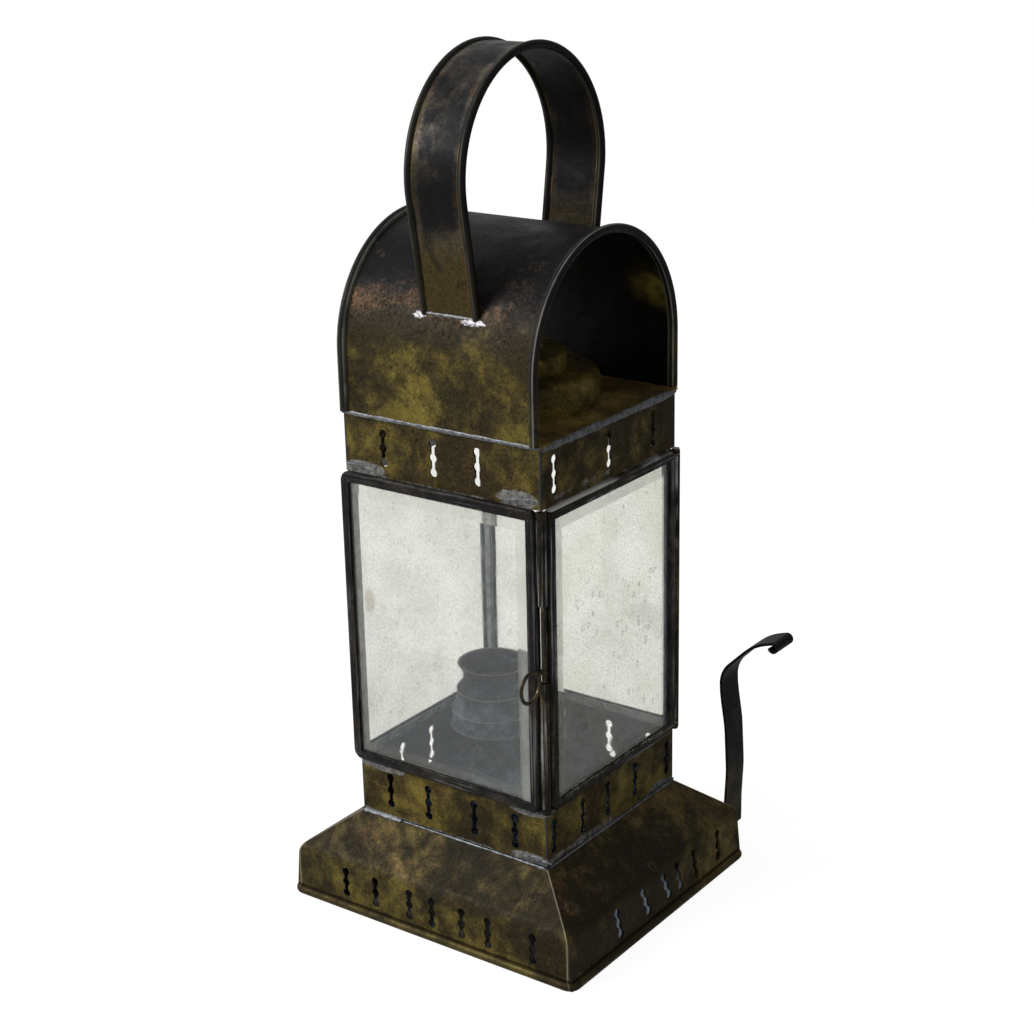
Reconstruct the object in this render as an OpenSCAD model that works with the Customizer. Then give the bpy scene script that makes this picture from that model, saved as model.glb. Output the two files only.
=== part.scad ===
// Candle lantern: a glass cage between two vented collars, on a hipped foot,
// under an open barrel roof with a wired strap handle. One side is a hinged door
// held by a drop bolt. Sizes are in millimetres, +Z is up, the front faces -Y.

/* [Glass cage] */
// Outside width and depth of the square glass cage
cage_w = 105; // [95:1:125]
// Height of the glass cage
cage_h = 134; // [120:1:160]
// Width of the channel round each pane
rail_w = 4.4; // [3.6:0.1:6]
// Sheet thickness of that channel
channel_t = 0.7; // [0.5:0.05:0.9]
// Thickness of the glass
glass_t = 2.2; // [1.8:0.1:2.6]
// Thickness left at the ground edge of the glass
glass_edge_t = 1.8; // [1:0.1:2.1]
// Width of the bevel that shows inside the channel
bevel_w = 5.5; // [3:0.5:9]
// Play of the glass in its channel
glass_play = 0.2; // [0.1:0.05:0.3]

/* [Collars and plates] */
// Sheet thickness of the collars and the crown
sheet_t = 0.8; // [0.6:0.05:1.2]
// How far the lower collar sits back from the cage
lower_setback = 2.5; // [1.5:0.1:3]
// Height of the lower collar
lower_collar_h = 24.8; // [22:0.2:35]
// How far the upper collar sits back from the cage
upper_setback = 2.3; // [1.5:0.1:3]
// Height of the upper collar
upper_collar_h = 25.8; // [22:0.2:35]
// Thickness of the floor plate and of the deck under the roof
plate_t = 0.8; // [0.6:0.05:1.2]
// How far the floor plate stands out past the lower collar
floor_lip = 0.5; // [0:0.1:1]

/* [Foot] */
// Width of the foot's skirt at its fold, left to right
foot_w = 146; // [138:1:170]
// How far the skirt's left and right sides splay out at the rim
skirt_splay = 2.4; // [0:0.2:4]
// Depth of the foot's skirt, front to back
foot_d = 138.8; // [130:0.2:165]
// Height of the foot
foot_h = 40.6; // [36:0.2:50]
// Height at which the skirt folds into the hipped slope
fold_h = 24; // [22:0.5:30]
// Bend radius of that fold
fold_r = 8; // [2:0.5:10]
// Sheet thickness of the foot
foot_t = 0.9; // [0.7:0.05:1.2]
// Outside radius of the rolled rim
rim_r = 2; // [1.8:0.1:2.8]
// Radius at which the rim turns each corner
rim_bend = 3.5; // [3:0.5:8]
// How deep the rim is worn flat where it stands
rim_flat = 0.25; // [0.1:0.05:0.4]

/* [Punched vents] */
// Radius of each of a vent's three round punch marks
vent_r = 1.9; // [1.4:0.1:2.4]
// Width of the neck between the punch marks
vent_neck = 2; // [1:0.1:2.6]
// Height of a vent in the collars
collar_vent_h = 16.4; // [12:0.2:20]
// Height of a vent in the skirt
skirt_vent_h = 14.6; // [12:0.2:17]
// Height of the middle of the skirt vents
skirt_vent_z = 13.6; // [12:0.2:15]
// Vents in the upper collar's front and back, as shares of its half width, from the left
upper_front_marks = [-0.59, -0.07, 0.38];
// Vents in the upper collar's right and left walls
upper_side_marks = [-0.81, -0.02, 0.65];
// Vents in the lower collar's front wall, from the left as seen from outside
lower_front_marks = [-0.68, -0.26, 0.24, 0.67];
// Vents in the lower collar's right wall
lower_right_marks = [-0.89, -0.46, -0.07, 0.37, 0.9];
// Vents in the lower collar's back wall
lower_back_marks = [-0.71, -0.29, 0.26, 0.68];
// Vents in the lower collar's left wall
lower_left_marks = [-0.9, 0, 0.42, 0.85];
// Vents in the skirt's front and back
skirt_front_marks = [-0.63, -0.4, -0.14, 0.03, 0.25, 0.44, 0.76];
// Vents in the skirt's right and left sides
skirt_side_marks = [-0.46, -0.15, 0.09, 0.24, 0.44, 0.73];
// How far each of those side vents leans, in degrees
skirt_side_leans = [8, 18, 20, 13, 6, -3];

/* [Roof] */
// How far the barrel roof swells past the upper collar
roof_swell = 0.9; // [0.8:0.1:3]
// Height of the roof's straight sides
roof_side_h = 25.2; // [18:0.2:35]
// Sheet thickness of the roof
roof_t = 0.9; // [0.7:0.05:1.2]
// Outside radius of the roof's rolled ends
roof_bead_r = 1.85; // [1.5:0.05:2.4]
// Radius of the chimney crown on the deck
crown_r = 38; // [30:0.5:42]
// Height of the crown's drum
crown_h = 14; // [10:0.5:18]
// Radius of the crown's cap
cap_r = 24; // [20:0.5:28]
// Height of the cap above the drum
cap_h = 8; // [5:0.5:10]
// Radius of the smoke hole in the cap
smoke_r = 14; // [8:0.5:18]

/* [Strap handle] */
// Width of the handle over its rolled edges
handle_w = 29.4; // [24:0.2:36]
// Sheet thickness of the handle
handle_t = 0.9; // [0.7:0.05:1.2]
// Outside radius of the handle's rolled edges
handle_bead_r = 1.75; // [1.5:0.05:2.2]
// Radius of the handle's arch
handle_r = 48.4; // [40:0.2:52]
// Height of the handle's arch above the roof
handle_rise = 71.8; // [60:0.2:90]
// How far the arch leans to the front
handle_lean = 5.2; // [0:0.2:8]
// How far the handle sits to the right of the middle
handle_shift = 5; // [0:0.5:10]
// Angle of the handle's front foot on the barrel, from the top
front_foot_angle = 64.7; // [55:0.1:70]
// Angle of the handle's back foot on the barrel
back_foot_angle = 47.3; // [42:0.1:60]

/* [Rear strap] */
// Width of the bent strap behind the foot
strap_w = 14.4; // [10:0.2:18]
// Thickness of that strap
strap_t = 1.3; // [1:0.1:2]
// How far the strap rises inside the foot's right side
strap_inset = 7; // [5:0.2:13]
// Height of the strap's lower end
strap_z = 10; // [8:0.5:14]
// Radius of the hem rolled at its free end
strap_hem_r = 2; // [1.5:0.1:3]
// Length of the strap's gently bowed upright
strap_rise = 38; // [30:1:45]
// Radius of the slow bows in that upright
strap_bow_r = 60; // [40:5:90]
// Radius of the bend where the strap turns outwards
strap_knee_r = 14; // [8:1:20]
// Radius of the bend where it levels out
strap_elbow_r = 26; // [15:1:35]
// Length of its level end
strap_reach = 3; // [2:1:35]

/* [Candle holder] */
// How far the holder stands to the left of the middle
cup_shift = 12.6; // [0:0.2:16]
// Height of the cup's underside above the floor plate
stem_h = 32; // [20:0.5:60]
// Radius of the cup at its lowest tier
cup_r = 19.2; // [17:0.1:22]
// Height of the cup
cup_h = 29.8; // [24:0.2:36]
// Bore of the cup's neck, which grips the candle
cup_bore_r = 12.7; // [10:0.1:13]
// Sheet thickness of the cup and its stem
cup_t = 0.8; // [0.6:0.05:1]

/* [Door hardware] */
// Outside radius of the hinge and latch tubes
tube_r = 1.95; // [1.8:0.05:2.4]
// Radius of the hinge pin
pin_r = 1; // [0.8:0.05:1.1]
// Gap between the door and what surrounds it
reveal = 0.3; // [0.2:0.05:0.5]
// Length of each fixed hinge tube
knuckle_l = 33; // [20:1:40]
// Length of the latch tube on the front pane
latch_l = 39.6; // [36:0.2:48]
// Length of the keeper tube on the door
keeper_l = 60; // [50:0.5:66]
// Radius of the bolt wire
bolt_r = 1.05; // [0.9:0.05:1.1]
// How far the bolt drops into the keeper
bolt_drop = 3.5; // [2:0.5:5]
// Mean radius of the pull ring
ring_r = 6.4; // [6:0.1:9]
// Radius of the ring's wire
ring_wire_r = 0.8; // [0.6:0.05:1]

/* [Hidden] */
$fn = 48;
fine = 28;
hair = 0.01;             // keeps faces that would coincide apart
over = 1;                // how far a cutting form runs past what it cuts
run_gap = 0.06;          // radial running clearance of a pin in its tube
wire_gap = 0.03;         // clearance of an edge wire in its roll
wire_share = 0.55;       // edge wire radius as a share of the roll round it
leg_lap = 0.3;           // how far the handle's legs reach into its arch
leg_bury = 4;            // spare length of the legs, trimmed away by the barrel
web_t = 1.4;             // thickness of the webs that carry the corner tubes

cage_half = cage_w / 2;
frame_t = glass_t + 2 * (channel_t + glass_play);
frame_bend = rail_w + 0.1;
corner_room = max(2 * tube_r, frame_t) + reveal;
corner_c = cage_half - tube_r;           // hinge and latch tubes stand in the corners
panel_half = cage_half - corner_room;    // where the panels stop short of the tubes
long_w = cage_half + panel_half;         // front and back panes run past the left one
long_x = (panel_half - cage_half) / 2;
left_w = 2 * (cage_half - frame_t);
door_h = cage_h - 2 * reveal;

lower_half = cage_half - lower_setback;
upper_half = cage_half - upper_setback;
z_collar = foot_h + plate_t;
z_cage = z_collar + lower_collar_h;
z_top = z_cage + cage_h;
z_deck = z_top + upper_collar_h;
z_roof = z_deck + plate_t;
z_arc = z_roof + roof_side_h;

roof_r = upper_half + roof_swell;
roof_half = upper_half + 0.1;
roof_bead_out = 0.6;     // the rolled ends' centre line stands this far out
crown_round = 5;         // shoulder radii of the crown's drum and cap
cap_round = 2.5;
deck_hole_r = crown_r - 4;

arch_c = [-handle_lean, z_arc + roof_r + handle_rise - handle_r];
front_foot = [-roof_r * sin(front_foot_angle), z_arc + roof_r * cos(front_foot_angle)];
back_foot = [roof_r * sin(back_foot_angle), z_arc + roof_r * cos(back_foot_angle)];

skirt_x = foot_w / 2;
skirt_y = foot_d / 2;
rim_in = 0.1;            // the rim's centre line lies this far inside the skirt's face
rim_z = rim_r - rim_flat;
vent_reach = 6;          // how far a vent's cut runs to each side of its wall

stem_base_r = 20;
stem_top_r = 9;
stem_rim_h = 1.5;
z_cup = z_collar + stem_h;
tier_bead = 0.55;        // radius of the ridge round each tier of the cup
tier_edge = 0.8;         // how far a tier turns in at its upper edge
tier_lean = 0.6;         // how far a tier narrows on its way up
lip_flare = 2.4;         // how far the cup's rim opens out above its neck

z_keeper = z_cage + keeper_l + reveal;
z_latch = z_top - reveal - latch_l;
z_latch_bore = z_latch + 3;              // above the crimp at the tube's lower end
latch_bore_r = tube_r - 0.4;
bolt_head_r = latch_bore_r - 0.1;
bolt_head_l = 2.4;
bolt_rest_gap = 0.5;     // the bolt's tip clears the keeper's mouth by this much
lug_r = 1.4;
lug_z = z_keeper + bolt_drop + lug_r + 0.4;
ring_hang = 4;           // how far the ring's middle hangs below the lug
ring_clear = 0.6;        // air between the ring and the latch tube's front
ring_off = tube_r + ring_clear + ring_wire_r + ring_r;
ring_c = [corner_c, -corner_c - ring_off, lug_z - ring_hang];
lug_l = ring_off - sqrt(pow(ring_r, 2) - pow(ring_hang, 2)) + ring_wire_r / 2;

hinge_inset = 1.4;       // how far the hinge tubes stop short of the cage's ends
z_low_knuckle = z_cage + hinge_inset;
z_high_knuckle = z_top - hinge_inset - knuckle_l;
pin_head_r = pin_r + 0.7;
pin_head_h = 0.9;

strap_x = skirt_x - strap_inset;
strap_tab_h = 12;
strap_tab_l = 13;
chord_turn = 5;          // the rear strap's bends are made of chords of this many degrees
// The rear strap's path from its tab up to its hem, as [length, turn].
strap_bends = [[strap_tab_h, 0],
               [arc_run(strap_bow_r, 3), -3], [strap_rise * 0.32, 0],
               [arc_run(strap_bow_r, 6), 6], [strap_rise * 0.42, 0],
               [arc_run(strap_bow_r, 6), 6], [strap_rise * 0.26, 0],
               [arc_run(strap_bow_r, 8), -8], [arc_run(strap_knee_r, 46), -46], [strap_rise * 0.29, 0],
               [arc_run(strap_elbow_r, 28), -28], [strap_reach, 0],
               [arc_run(strap_hem_r, 270), -270]];

// ---- bending and sweeping ------------------------------------------------

// Carries a flat section along a bent path in the XY plane. The path starts at the
// origin and heads for +Y. Each bend is [length, turn]: a turn of 0 is straight, a
// positive turn goes left. The section's X points to the right of the path, its Y is Z.
module bend_sweep(bends, i = 0) {
    if (i < len(bends)) {
        run = bends[i][0];
        turn = bends[i][1];
        if (turn == 0) {
            translate([0, run, 0]) rotate([90, 0, 0]) linear_extrude(run) children();
            translate([0, run, 0]) bend_sweep(bends, i + 1) children();
        } else {
            r = run * 180 / PI / abs(turn);
            if (turn > 0) {
                translate([-r, 0, 0]) rotate_extrude(angle = turn) translate([r, 0]) children();
                translate([-r, 0, 0]) rotate(turn) translate([r, 0, 0])
                    bend_sweep(bends, i + 1) children();
            } else {
                translate([r, 0, 0]) rotate(180 + turn) rotate_extrude(angle = -turn)
                    translate([r, 0]) mirror([1, 0]) children();
                translate([r, 0, 0]) rotate(turn) translate([-r, 0, 0])
                    bend_sweep(bends, i + 1) children();
            }
        }
    }
}

function arc_run(r, angle) = r * angle * PI / 180;

// Angle on a circle at which the straight line from an outside point touches it.
function touch_angle(p, c, r, side) =
    atan2(p[1] - c[1], p[0] - c[0]) + side * acos(r / norm(p - c));

module rounded_rect(w, h, r) {
    translate([-w / 2 + r, -h / 2]) square([w - 2 * r, h]);
    translate([-w / 2, -h / 2 + r]) square([w, h - 2 * r]);
    for (x = [-1, 1], y = [-1, 1])
        translate([x * (w / 2 - r), y * (h / 2 - r)]) circle(r);
}

// A closed square ring of bent section: starts on the left side and turns right.
module ring_path(w, h, bend) {
    corner = [arc_run(bend, 90), -90];
    translate([-w / 2, -h / 2 + bend, 0])
        bend_sweep([[h - 2 * bend, 0], corner, [w - 2 * bend, 0], corner,
                    [h - 2 * bend, 0], corner, [w - 2 * bend, 0], corner])
            children();
}

// ---- panes ---------------------------------------------------------------

// Folded channel: a rounded back with two flanges that hold the glass.
module channel_section() {
    back_r = frame_t * 0.3;
    difference() {
        union() {
            translate([back_r, -frame_t / 2]) square([rail_w - back_r, frame_t]);
            translate([0, -frame_t / 2 + back_r]) square([back_r + hair, frame_t - 2 * back_r]);
            for (side = [-1, 1])
                translate([back_r, side * (frame_t / 2 - back_r)]) circle(back_r, $fn = fine);
        }
        translate([channel_t, -frame_t / 2 + channel_t]) square([rail_w, frame_t - 2 * channel_t]);
    }
}

// A pane's frame, standing on Z = 0 with its outer face towards -Y.
module pane_frame(w, h) {
    translate([0, 0, h / 2]) rotate([90, 0, 0]) ring_path(w, h, frame_bend) channel_section();
}

// The bevelled glass for a frame of that size, in the same place.
module pane_glass(w, h) {
    inset = channel_t + glass_play;
    gw = w - 2 * inset;
    gh = h - 2 * inset;
    ground = bevel_w + rail_w - inset;
    translate([0, 0, h / 2]) intersection() {
        rotate([90, 0, 0]) translate([0, 0, -glass_t]) linear_extrude(2 * glass_t)
            rounded_rect(gw, gh, frame_bend - inset);
        translate([0, 0, -gh / 2]) linear_extrude(gh) bevel_profile(gw, ground);
        rotate([0, 90, 0]) translate([0, 0, -gw / 2]) linear_extrude(gw) bevel_profile(gh, ground);
    }
}

// Flat at the back, ground down towards both edges at the front.
module bevel_profile(w, ground) {
    back = glass_t / 2;
    polygon([[-w / 2, back], [w / 2, back], [w / 2, back - glass_edge_t], [w / 2 - ground, -back],
             [-w / 2 + ground, -back], [-w / 2, back - glass_edge_t]]);
}

// Where each pane stands. All stop short of the corner tubes at the door side.
module at_front() {
    translate([long_x, -cage_half + frame_t / 2, z_cage]) children();
}

module at_back() {
    translate([long_x, cage_half - frame_t / 2, z_cage]) rotate(180) children();
}

module at_left() {
    translate([-cage_half + frame_t / 2, 0, z_cage]) rotate(-90) children();
}

module at_door() {
    translate([cage_half - frame_t / 2, 0, z_cage + reveal]) rotate(90) children();
}

module front_frame() { color("#3a3833") at_front() pane_frame(long_w, cage_h); }
module back_frame() { color("#3a3833") at_back() pane_frame(long_w, cage_h); }
module left_frame() { color("#3a3833") at_left() pane_frame(left_w, cage_h); }
module door_frame() { color("#3a3833") at_door() pane_frame(2 * panel_half, door_h); }
module front_glass() { color("#d9dfd8", 0.4) at_front() pane_glass(long_w, cage_h); }
module back_glass() { color("#d9dfd8", 0.4) at_back() pane_glass(long_w, cage_h); }
module left_glass() { color("#d9dfd8", 0.4) at_left() pane_glass(left_w, cage_h); }
module door_glass() { color("#d9dfd8", 0.4) at_door() pane_glass(2 * panel_half, door_h); }

// ---- vents, collars and plates -------------------------------------------

// Three round punch marks joined by a narrow neck, in the XY plane, upright along Y.
module vent_shape(h) {
    reach = h / 2 - vent_r;
    for (step = [-1, 0, 1]) translate([0, step * reach]) circle(vent_r, $fn = fine);
    translate([-vent_neck / 2, -reach]) square([vent_neck, 2 * reach]);
}

// A mark for each vent, as [share of the wall's half width, lean].
function marks(shares, leans) = [for (i = [0:len(shares) - 1]) [shares[i], leans[i]]];
function level(shares) = [for (share = shares) [share, 0]];
function mirrored(row) = [for (mark = row) -mark];

// Cuts the vents of one wall, which faces -Y and stands off from the middle.
module vent_row(stand_off, half_w, h, row) {
    for (mark = row)
        translate([mark[0] * half_w, -stand_off + vent_reach, 0]) rotate([90, 0, 0])
            linear_extrude(2 * vent_reach) rotate(mark[1]) vent_shape(h);
}

// Cuts the vents of four walls. The rows are for the front, right, back and left.
module vent_cuts(half_x, half_y, z, h, rows) {
    for (i = [0:3]) translate([0, 0, z]) rotate(90 * i)
        vent_row(i % 2 == 0 ? half_y : half_x, i % 2 == 0 ? half_x : half_y, h, rows[i]);
}

module collar(half, h, rows) {
    difference() {
        translate([-half, -half, 0]) cube([2 * half, 2 * half, h]);
        translate([-half + sheet_t, -half + sheet_t, -over])
            cube([2 * (half - sheet_t), 2 * (half - sheet_t), h + 2 * over]);
        vent_cuts(half, half, h / 2, collar_vent_h, rows);
    }
}

module square_plate(half) {
    translate([-half, -half, 0]) cube([2 * half, 2 * half, plate_t]);
}

module lower_collar() {
    color("#8a7434") translate([0, 0, z_collar])
        collar(lower_half, lower_collar_h, [level(lower_front_marks), level(lower_right_marks),
                                            level(lower_back_marks), level(lower_left_marks)]);
}

module upper_collar() {
    front = level(upper_front_marks);
    side = level(upper_side_marks);
    color("#8a7434") translate([0, 0, z_top])
        collar(upper_half, upper_collar_h, [front, side, mirrored(front), mirrored(side)]);
}

module floor_plate() {
    color("#4b4c48") translate([0, 0, foot_h]) square_plate(lower_half + floor_lip);
}

module deck_plate() {
    color("#8f6f33") translate([0, 0, z_deck]) difference() {
        square_plate(roof_r);
        translate([0, 0, -over]) cylinder(r = deck_hole_r, h = plate_t + 2 * over);
    }
}

// ---- foot ----------------------------------------------------------------

// Outline of the foot from its skirt to its collar and back down. The skirt splays
// outwards below its fold. The skin is measured inwards from the outer face.
module foot_profile(skirt, top, splay, skin, lift) {
    slope = atan((foot_h - fold_h) / (skirt - top));
    lean = atan(splay / fold_h);
    s = skirt - skin;
    fold_z = fold_h + skin * tan(slope) - skin / cos(slope);
    r = max(fold_r - skin, 0.5);
    bend = r / tan((90 + slope + lean) / 2);
    top_z = foot_h + lift;
    half = [[s + (fold_z + lift) * tan(lean), -lift],
            [s + bend * sin(lean), fold_z - bend * cos(lean)],
            [s - bend * cos(slope), fold_z + bend * sin(slope)],
            [s - (top_z - fold_z) / tan(slope), top_z]];
    polygon([for (side = [1, -1], i = [0:3]) let (p = half[side > 0 ? i : 3 - i])
        [side * p[0], p[1]]]);
    for (side = [-1, 1])
        translate([side * (half[1][0] - r * cos(lean)), half[1][1] - r * sin(lean)]) circle(r);
}

module foot_form(skin, lift) {
    intersection() {
        rotate([90, 0, 0]) translate([0, 0, -foot_d]) linear_extrude(2 * foot_d)
            foot_profile(skirt_x, lower_half, skirt_splay, skin, lift);
        rotate([90, 0, 90]) translate([0, 0, -foot_w]) linear_extrude(2 * foot_w)
            foot_profile(skirt_y, lower_half, 0, skin, lift);
    }
}

module rim_path(r) {
    translate([0, 0, rim_z])
        ring_path(2 * (skirt_x + skirt_splay - rim_in), 2 * (skirt_y - rim_in), rim_bend)
            circle(r, $fn = fine);
}

module foot_shell() {
    front = level(skirt_front_marks);
    side = marks(skirt_side_marks, skirt_side_leans);
    color("#7d692f") difference() {
        union() {
            difference() {
                foot_form(0, 0);
                foot_form(foot_t, over);
                vent_cuts(skirt_x, skirt_y, skirt_vent_z, skirt_vent_h,
                          [front, side, mirrored(front), mirrored(side)]);
            }
            rim_path(rim_r);
        }
        rim_path(rim_r * wire_share + wire_gap);
        translate([-foot_w, -foot_d, -rim_r]) cube([2 * foot_w, 2 * foot_d, rim_r]);
    }
}

module foot_wire() {
    color("#5b5346") rim_path(rim_r * wire_share);
}

// ---- candle holder -------------------------------------------------------

module stem_profile(skin) {
    top_z = stem_h - skin;
    polygon([[0, 0], [stem_base_r - skin, 0], [stem_base_r - skin, stem_rim_h - skin / 2],
             [stem_top_r + 2 - skin, stem_h * 0.35], [stem_top_r - skin, stem_h * 0.6],
             [stem_top_r - skin, top_z], [0, top_z]]);
}

module candle_stem() {
    color("#4b4c48") translate([-cup_shift, 0, z_collar]) rotate_extrude() difference() {
        stem_profile(0);
        translate([0, -hair]) stem_profile(cup_t);
    }
}

// Stepped tiers that narrow to a neck and flare to the rim.
function cup_outline(skin) = [
    [cup_r - skin, skin],
    [cup_r - tier_lean - skin, cup_h * 0.27],
    [cup_r - tier_lean - tier_edge - skin, cup_h * 0.3],
    [cup_r - 3 - skin, cup_h * 0.58],
    [cup_r - 3 - tier_edge - skin, cup_h * 0.61],
    [cup_bore_r + cup_t - skin, cup_h * 0.76],
    [cup_bore_r + cup_t - skin, cup_h * 0.87],
    [cup_bore_r + cup_t + lip_flare - skin, cup_h]
];

module candle_cup() {
    color("#55584f") translate([-cup_shift, 0, z_cup]) rotate_extrude() {
        difference() {
            polygon(concat([[0, 0]], cup_outline(0), [[0, cup_h]]));
            polygon(concat([[0, cup_t]], cup_outline(cup_t), [[0, cup_h + over]]));
        }
        for (tier = [[0, 0.02], [0.8, 0.27], [3.1, 0.59]])
            translate([cup_r - tier[0] - 0.1, cup_h * tier[1]])
                circle(tier_bead, $fn = fine);
    }
}

// ---- roof and chimney ----------------------------------------------------

// Stands the XY plane of a bent path upright, with the path's Y as Z and its X as Y.
module upright() {
    rotate([90, 0, 90]) children();
}

// The path up one side, over the barrel and down the other, at the outer face.
module roof_path() {
    upright() translate([-roof_r, z_roof])
        bend_sweep([[roof_side_h, 0], [arc_run(roof_r, 180), -180], [roof_side_h, 0]]) children();
}

module roof_bead(r) {
    for (side = [-1, 1])
        translate([-roof_bead_out, side * (roof_half - roof_bead_r)]) circle(r, $fn = fine);
}

module roof_shell() {
    color("#4a3d28") roof_path() difference() {
        union() {
            translate([0, -roof_half + roof_bead_r]) square([roof_t, 2 * (roof_half - roof_bead_r)]);
            roof_bead(roof_bead_r);
        }
        roof_bead(roof_bead_r * wire_share + wire_gap);
    }
}

module roof_wires() {
    color("#5b5346") roof_path() roof_bead(roof_bead_r * wire_share);
}

// A drum or cap with a rounded shoulder, as half a section.
module rounded_step(r, h, round) {
    square([r, h - round]);
    square([r - round, h]);
    translate([r - round, h - round]) circle(round);
}

module crown_profile(skin) {
    rounded_step(crown_r - skin, crown_h - skin, crown_round - skin);
    rounded_step(cap_r - skin, crown_h + cap_h - skin, cap_round - skin);
}

module chimney_crown() {
    color("#6e5528") translate([0, 0, z_roof]) rotate_extrude() difference() {
        crown_profile(0);
        translate([0, -hair]) crown_profile(sheet_t);
        square([smoke_r, crown_h + cap_h + over]);
    }
}

// ---- handle --------------------------------------------------------------

// One straight leg, from its foot on the barrel to just past where it joins the arch.
module handle_leg(foot, lean) {
    run = sqrt(pow(norm(foot - arch_c), 2) - pow(handle_r, 2)) + leg_lap;
    translate(foot) rotate(lean) translate([0, run, 0]) rotate([90, 0, 0])
        linear_extrude(run + leg_bury) children();
}

// The arch and its two tangent legs, trimmed to the barrel. The first child is the
// arch's section, the second the legs', a hair slimmer so that they lap cleanly.
module handle_sweep() {
    front_angle = touch_angle(front_foot, arch_c, handle_r, -1) + 360;
    back_angle = touch_angle(back_foot, arch_c, handle_r, 1);
    difference() {
        translate([handle_shift, 0, 0]) upright() {
            translate(arch_c) rotate(back_angle) rotate_extrude(angle = front_angle - back_angle)
                translate([handle_r, 0]) children(0);
            handle_leg(front_foot, front_angle - 180) children(1);
            handle_leg(back_foot, back_angle) children(1);
        }
        translate([-cage_w, 0, z_arc]) rotate([0, 90, 0]) cylinder(r = roof_r, h = 2 * cage_w);
    }
}

module handle_bead(r) {
    for (side = [-1, 1])
        translate([0, side * (handle_w / 2 - handle_bead_r)]) circle(r, $fn = fine);
}

module handle_section(slim) {
    flat_half = handle_w / 2 - handle_bead_r;
    difference() {
        union() {
            translate([-handle_t / 2 + slim, -flat_half])
                square([handle_t - 2 * slim, 2 * flat_half]);
            handle_bead(handle_bead_r - slim);
        }
        handle_bead(handle_bead_r * wire_share + wire_gap + slim);
    }
}

module handle_strap() {
    color("#2f2a22") handle_sweep() {
        handle_section(0);
        handle_section(hair);
    }
}

module handle_wires() {
    color("#5b5346") handle_sweep() {
        handle_bead(handle_bead_r * wire_share);
        handle_bead(handle_bead_r * wire_share - hair);
    }
}

// ---- rear strap ----------------------------------------------------------

// One short chord of a bent path. A place on it is [x, y, heading].
function chord(p, run, turn) =
    [p[0] + run * cos(p[2] + turn / 2), p[1] + run * sin(p[2] + turn / 2), p[2] + turn];

// The places along a path of [length, turn] bends, with a chord for every few degrees.
function walk(p, bends, i = 0, k = 0) =
    i == len(bends) ? [p] :
    let (n = max(1, ceil(abs(bends[i][1]) / chord_turn)),
         q = chord(p, bends[i][0] / n, bends[i][1] / n))
    concat([p], k + 1 < n ? walk(q, bends, i, k + 1) : walk(q, bends, i + 1));

function beside(p, d) = [p[0] - d * sin(p[2]), p[1] + d * cos(p[2])];

// Outline of a strip of thickness t that follows those places.
function strip_outline(places, t) = concat(
    [for (p = places) beside(p, t / 2)],
    [for (i = [len(places) - 1:-1:0]) beside(places[i], -t / 2)]);

// Rises behind the foot's right corner, bends outwards and ends in a rolled hem.
// Its lower end is folded into a tab on the back of the skirt.
module rear_strap() {
    color("#2b2c33") {
        translate([strap_x, skirt_y + strap_t + strap_w, strap_z]) rotate([90, 0, 0])
            linear_extrude(strap_w)
                polygon(strip_outline(walk([0, 0, 90], strap_bends), strap_t));
        translate([strap_x - strap_tab_l, skirt_y, strap_z])
            cube([strap_tab_l + strap_t / 2, strap_t, strap_tab_h]);
    }
}

// ---- hinge and latch -----------------------------------------------------

// A tube along Z with a soldered web that reaches a panel's edge. The web points to -X.
module webbed_tube(l, bore_r) {
    difference() {
        union() {
            cylinder(r = tube_r, h = l, $fn = fine);
            translate([-corner_room + tube_r, -web_t / 2, 0])
                cube([corner_room - tube_r, web_t, l]);
        }
        translate([0, 0, -over]) cylinder(r = bore_r, h = l + 2 * over, $fn = fine);
    }
}

module lower_knuckle() {
    color("#57503c") translate([corner_c, corner_c, z_low_knuckle])
        webbed_tube(knuckle_l, pin_r + run_gap);
}

module upper_knuckle() {
    color("#57503c") translate([corner_c, corner_c, z_high_knuckle])
        webbed_tube(knuckle_l, pin_r + run_gap);
}

module door_knuckle() {
    z0 = z_low_knuckle + knuckle_l + reveal;
    color("#57503c") translate([corner_c, corner_c, z0]) rotate(90)
        webbed_tube(z_high_knuckle - reveal - z0, pin_r + run_gap);
}

module hinge_pin() {
    l = z_high_knuckle + knuckle_l - z_low_knuckle;
    color("#6b6046") translate([corner_c, corner_c, z_low_knuckle]) {
        cylinder(r = pin_r, h = l, $fn = fine);
        for (z = [-pin_head_h, l])
            translate([0, 0, z]) cylinder(r = pin_head_r, h = pin_head_h, $fn = fine);
    }
}

// The fixed tube: bored for the bolt's head, and crimped to the wire at its lower end.
module latch_tube() {
    color("#57503c") translate([corner_c, -corner_c, 0]) difference() {
        translate([0, 0, z_latch]) webbed_tube(latch_l, bolt_r + run_gap);
        translate([0, 0, z_latch_bore]) cylinder(r = latch_bore_r, h = latch_l, $fn = fine);
    }
}

module keeper_tube() {
    color("#57503c") translate([corner_c, -corner_c, z_keeper - keeper_l]) rotate(-90)
        webbed_tube(keeper_l, latch_bore_r);
}

// A straight wire with an upset head that the crimp holds back, and a lug for the ring.
module latch_bolt() {
    tip_z = z_keeper + bolt_rest_gap;
    head_z = z_latch_bore + bolt_drop + 0.1;
    color("#8d7a3f") translate([corner_c, -corner_c, 0]) {
        translate([0, 0, tip_z]) cylinder(r = bolt_r, h = head_z - tip_z, $fn = fine);
        translate([0, 0, head_z]) cylinder(r = bolt_head_r, h = bolt_head_l, $fn = fine);
        translate([0, 0, lug_z]) sphere(r = lug_r, $fn = fine);
        translate([0, 0, lug_z]) rotate([90, 0, 0])
            cylinder(r = lug_r * 0.7, h = lug_l, $fn = fine);
    }
}

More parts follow.
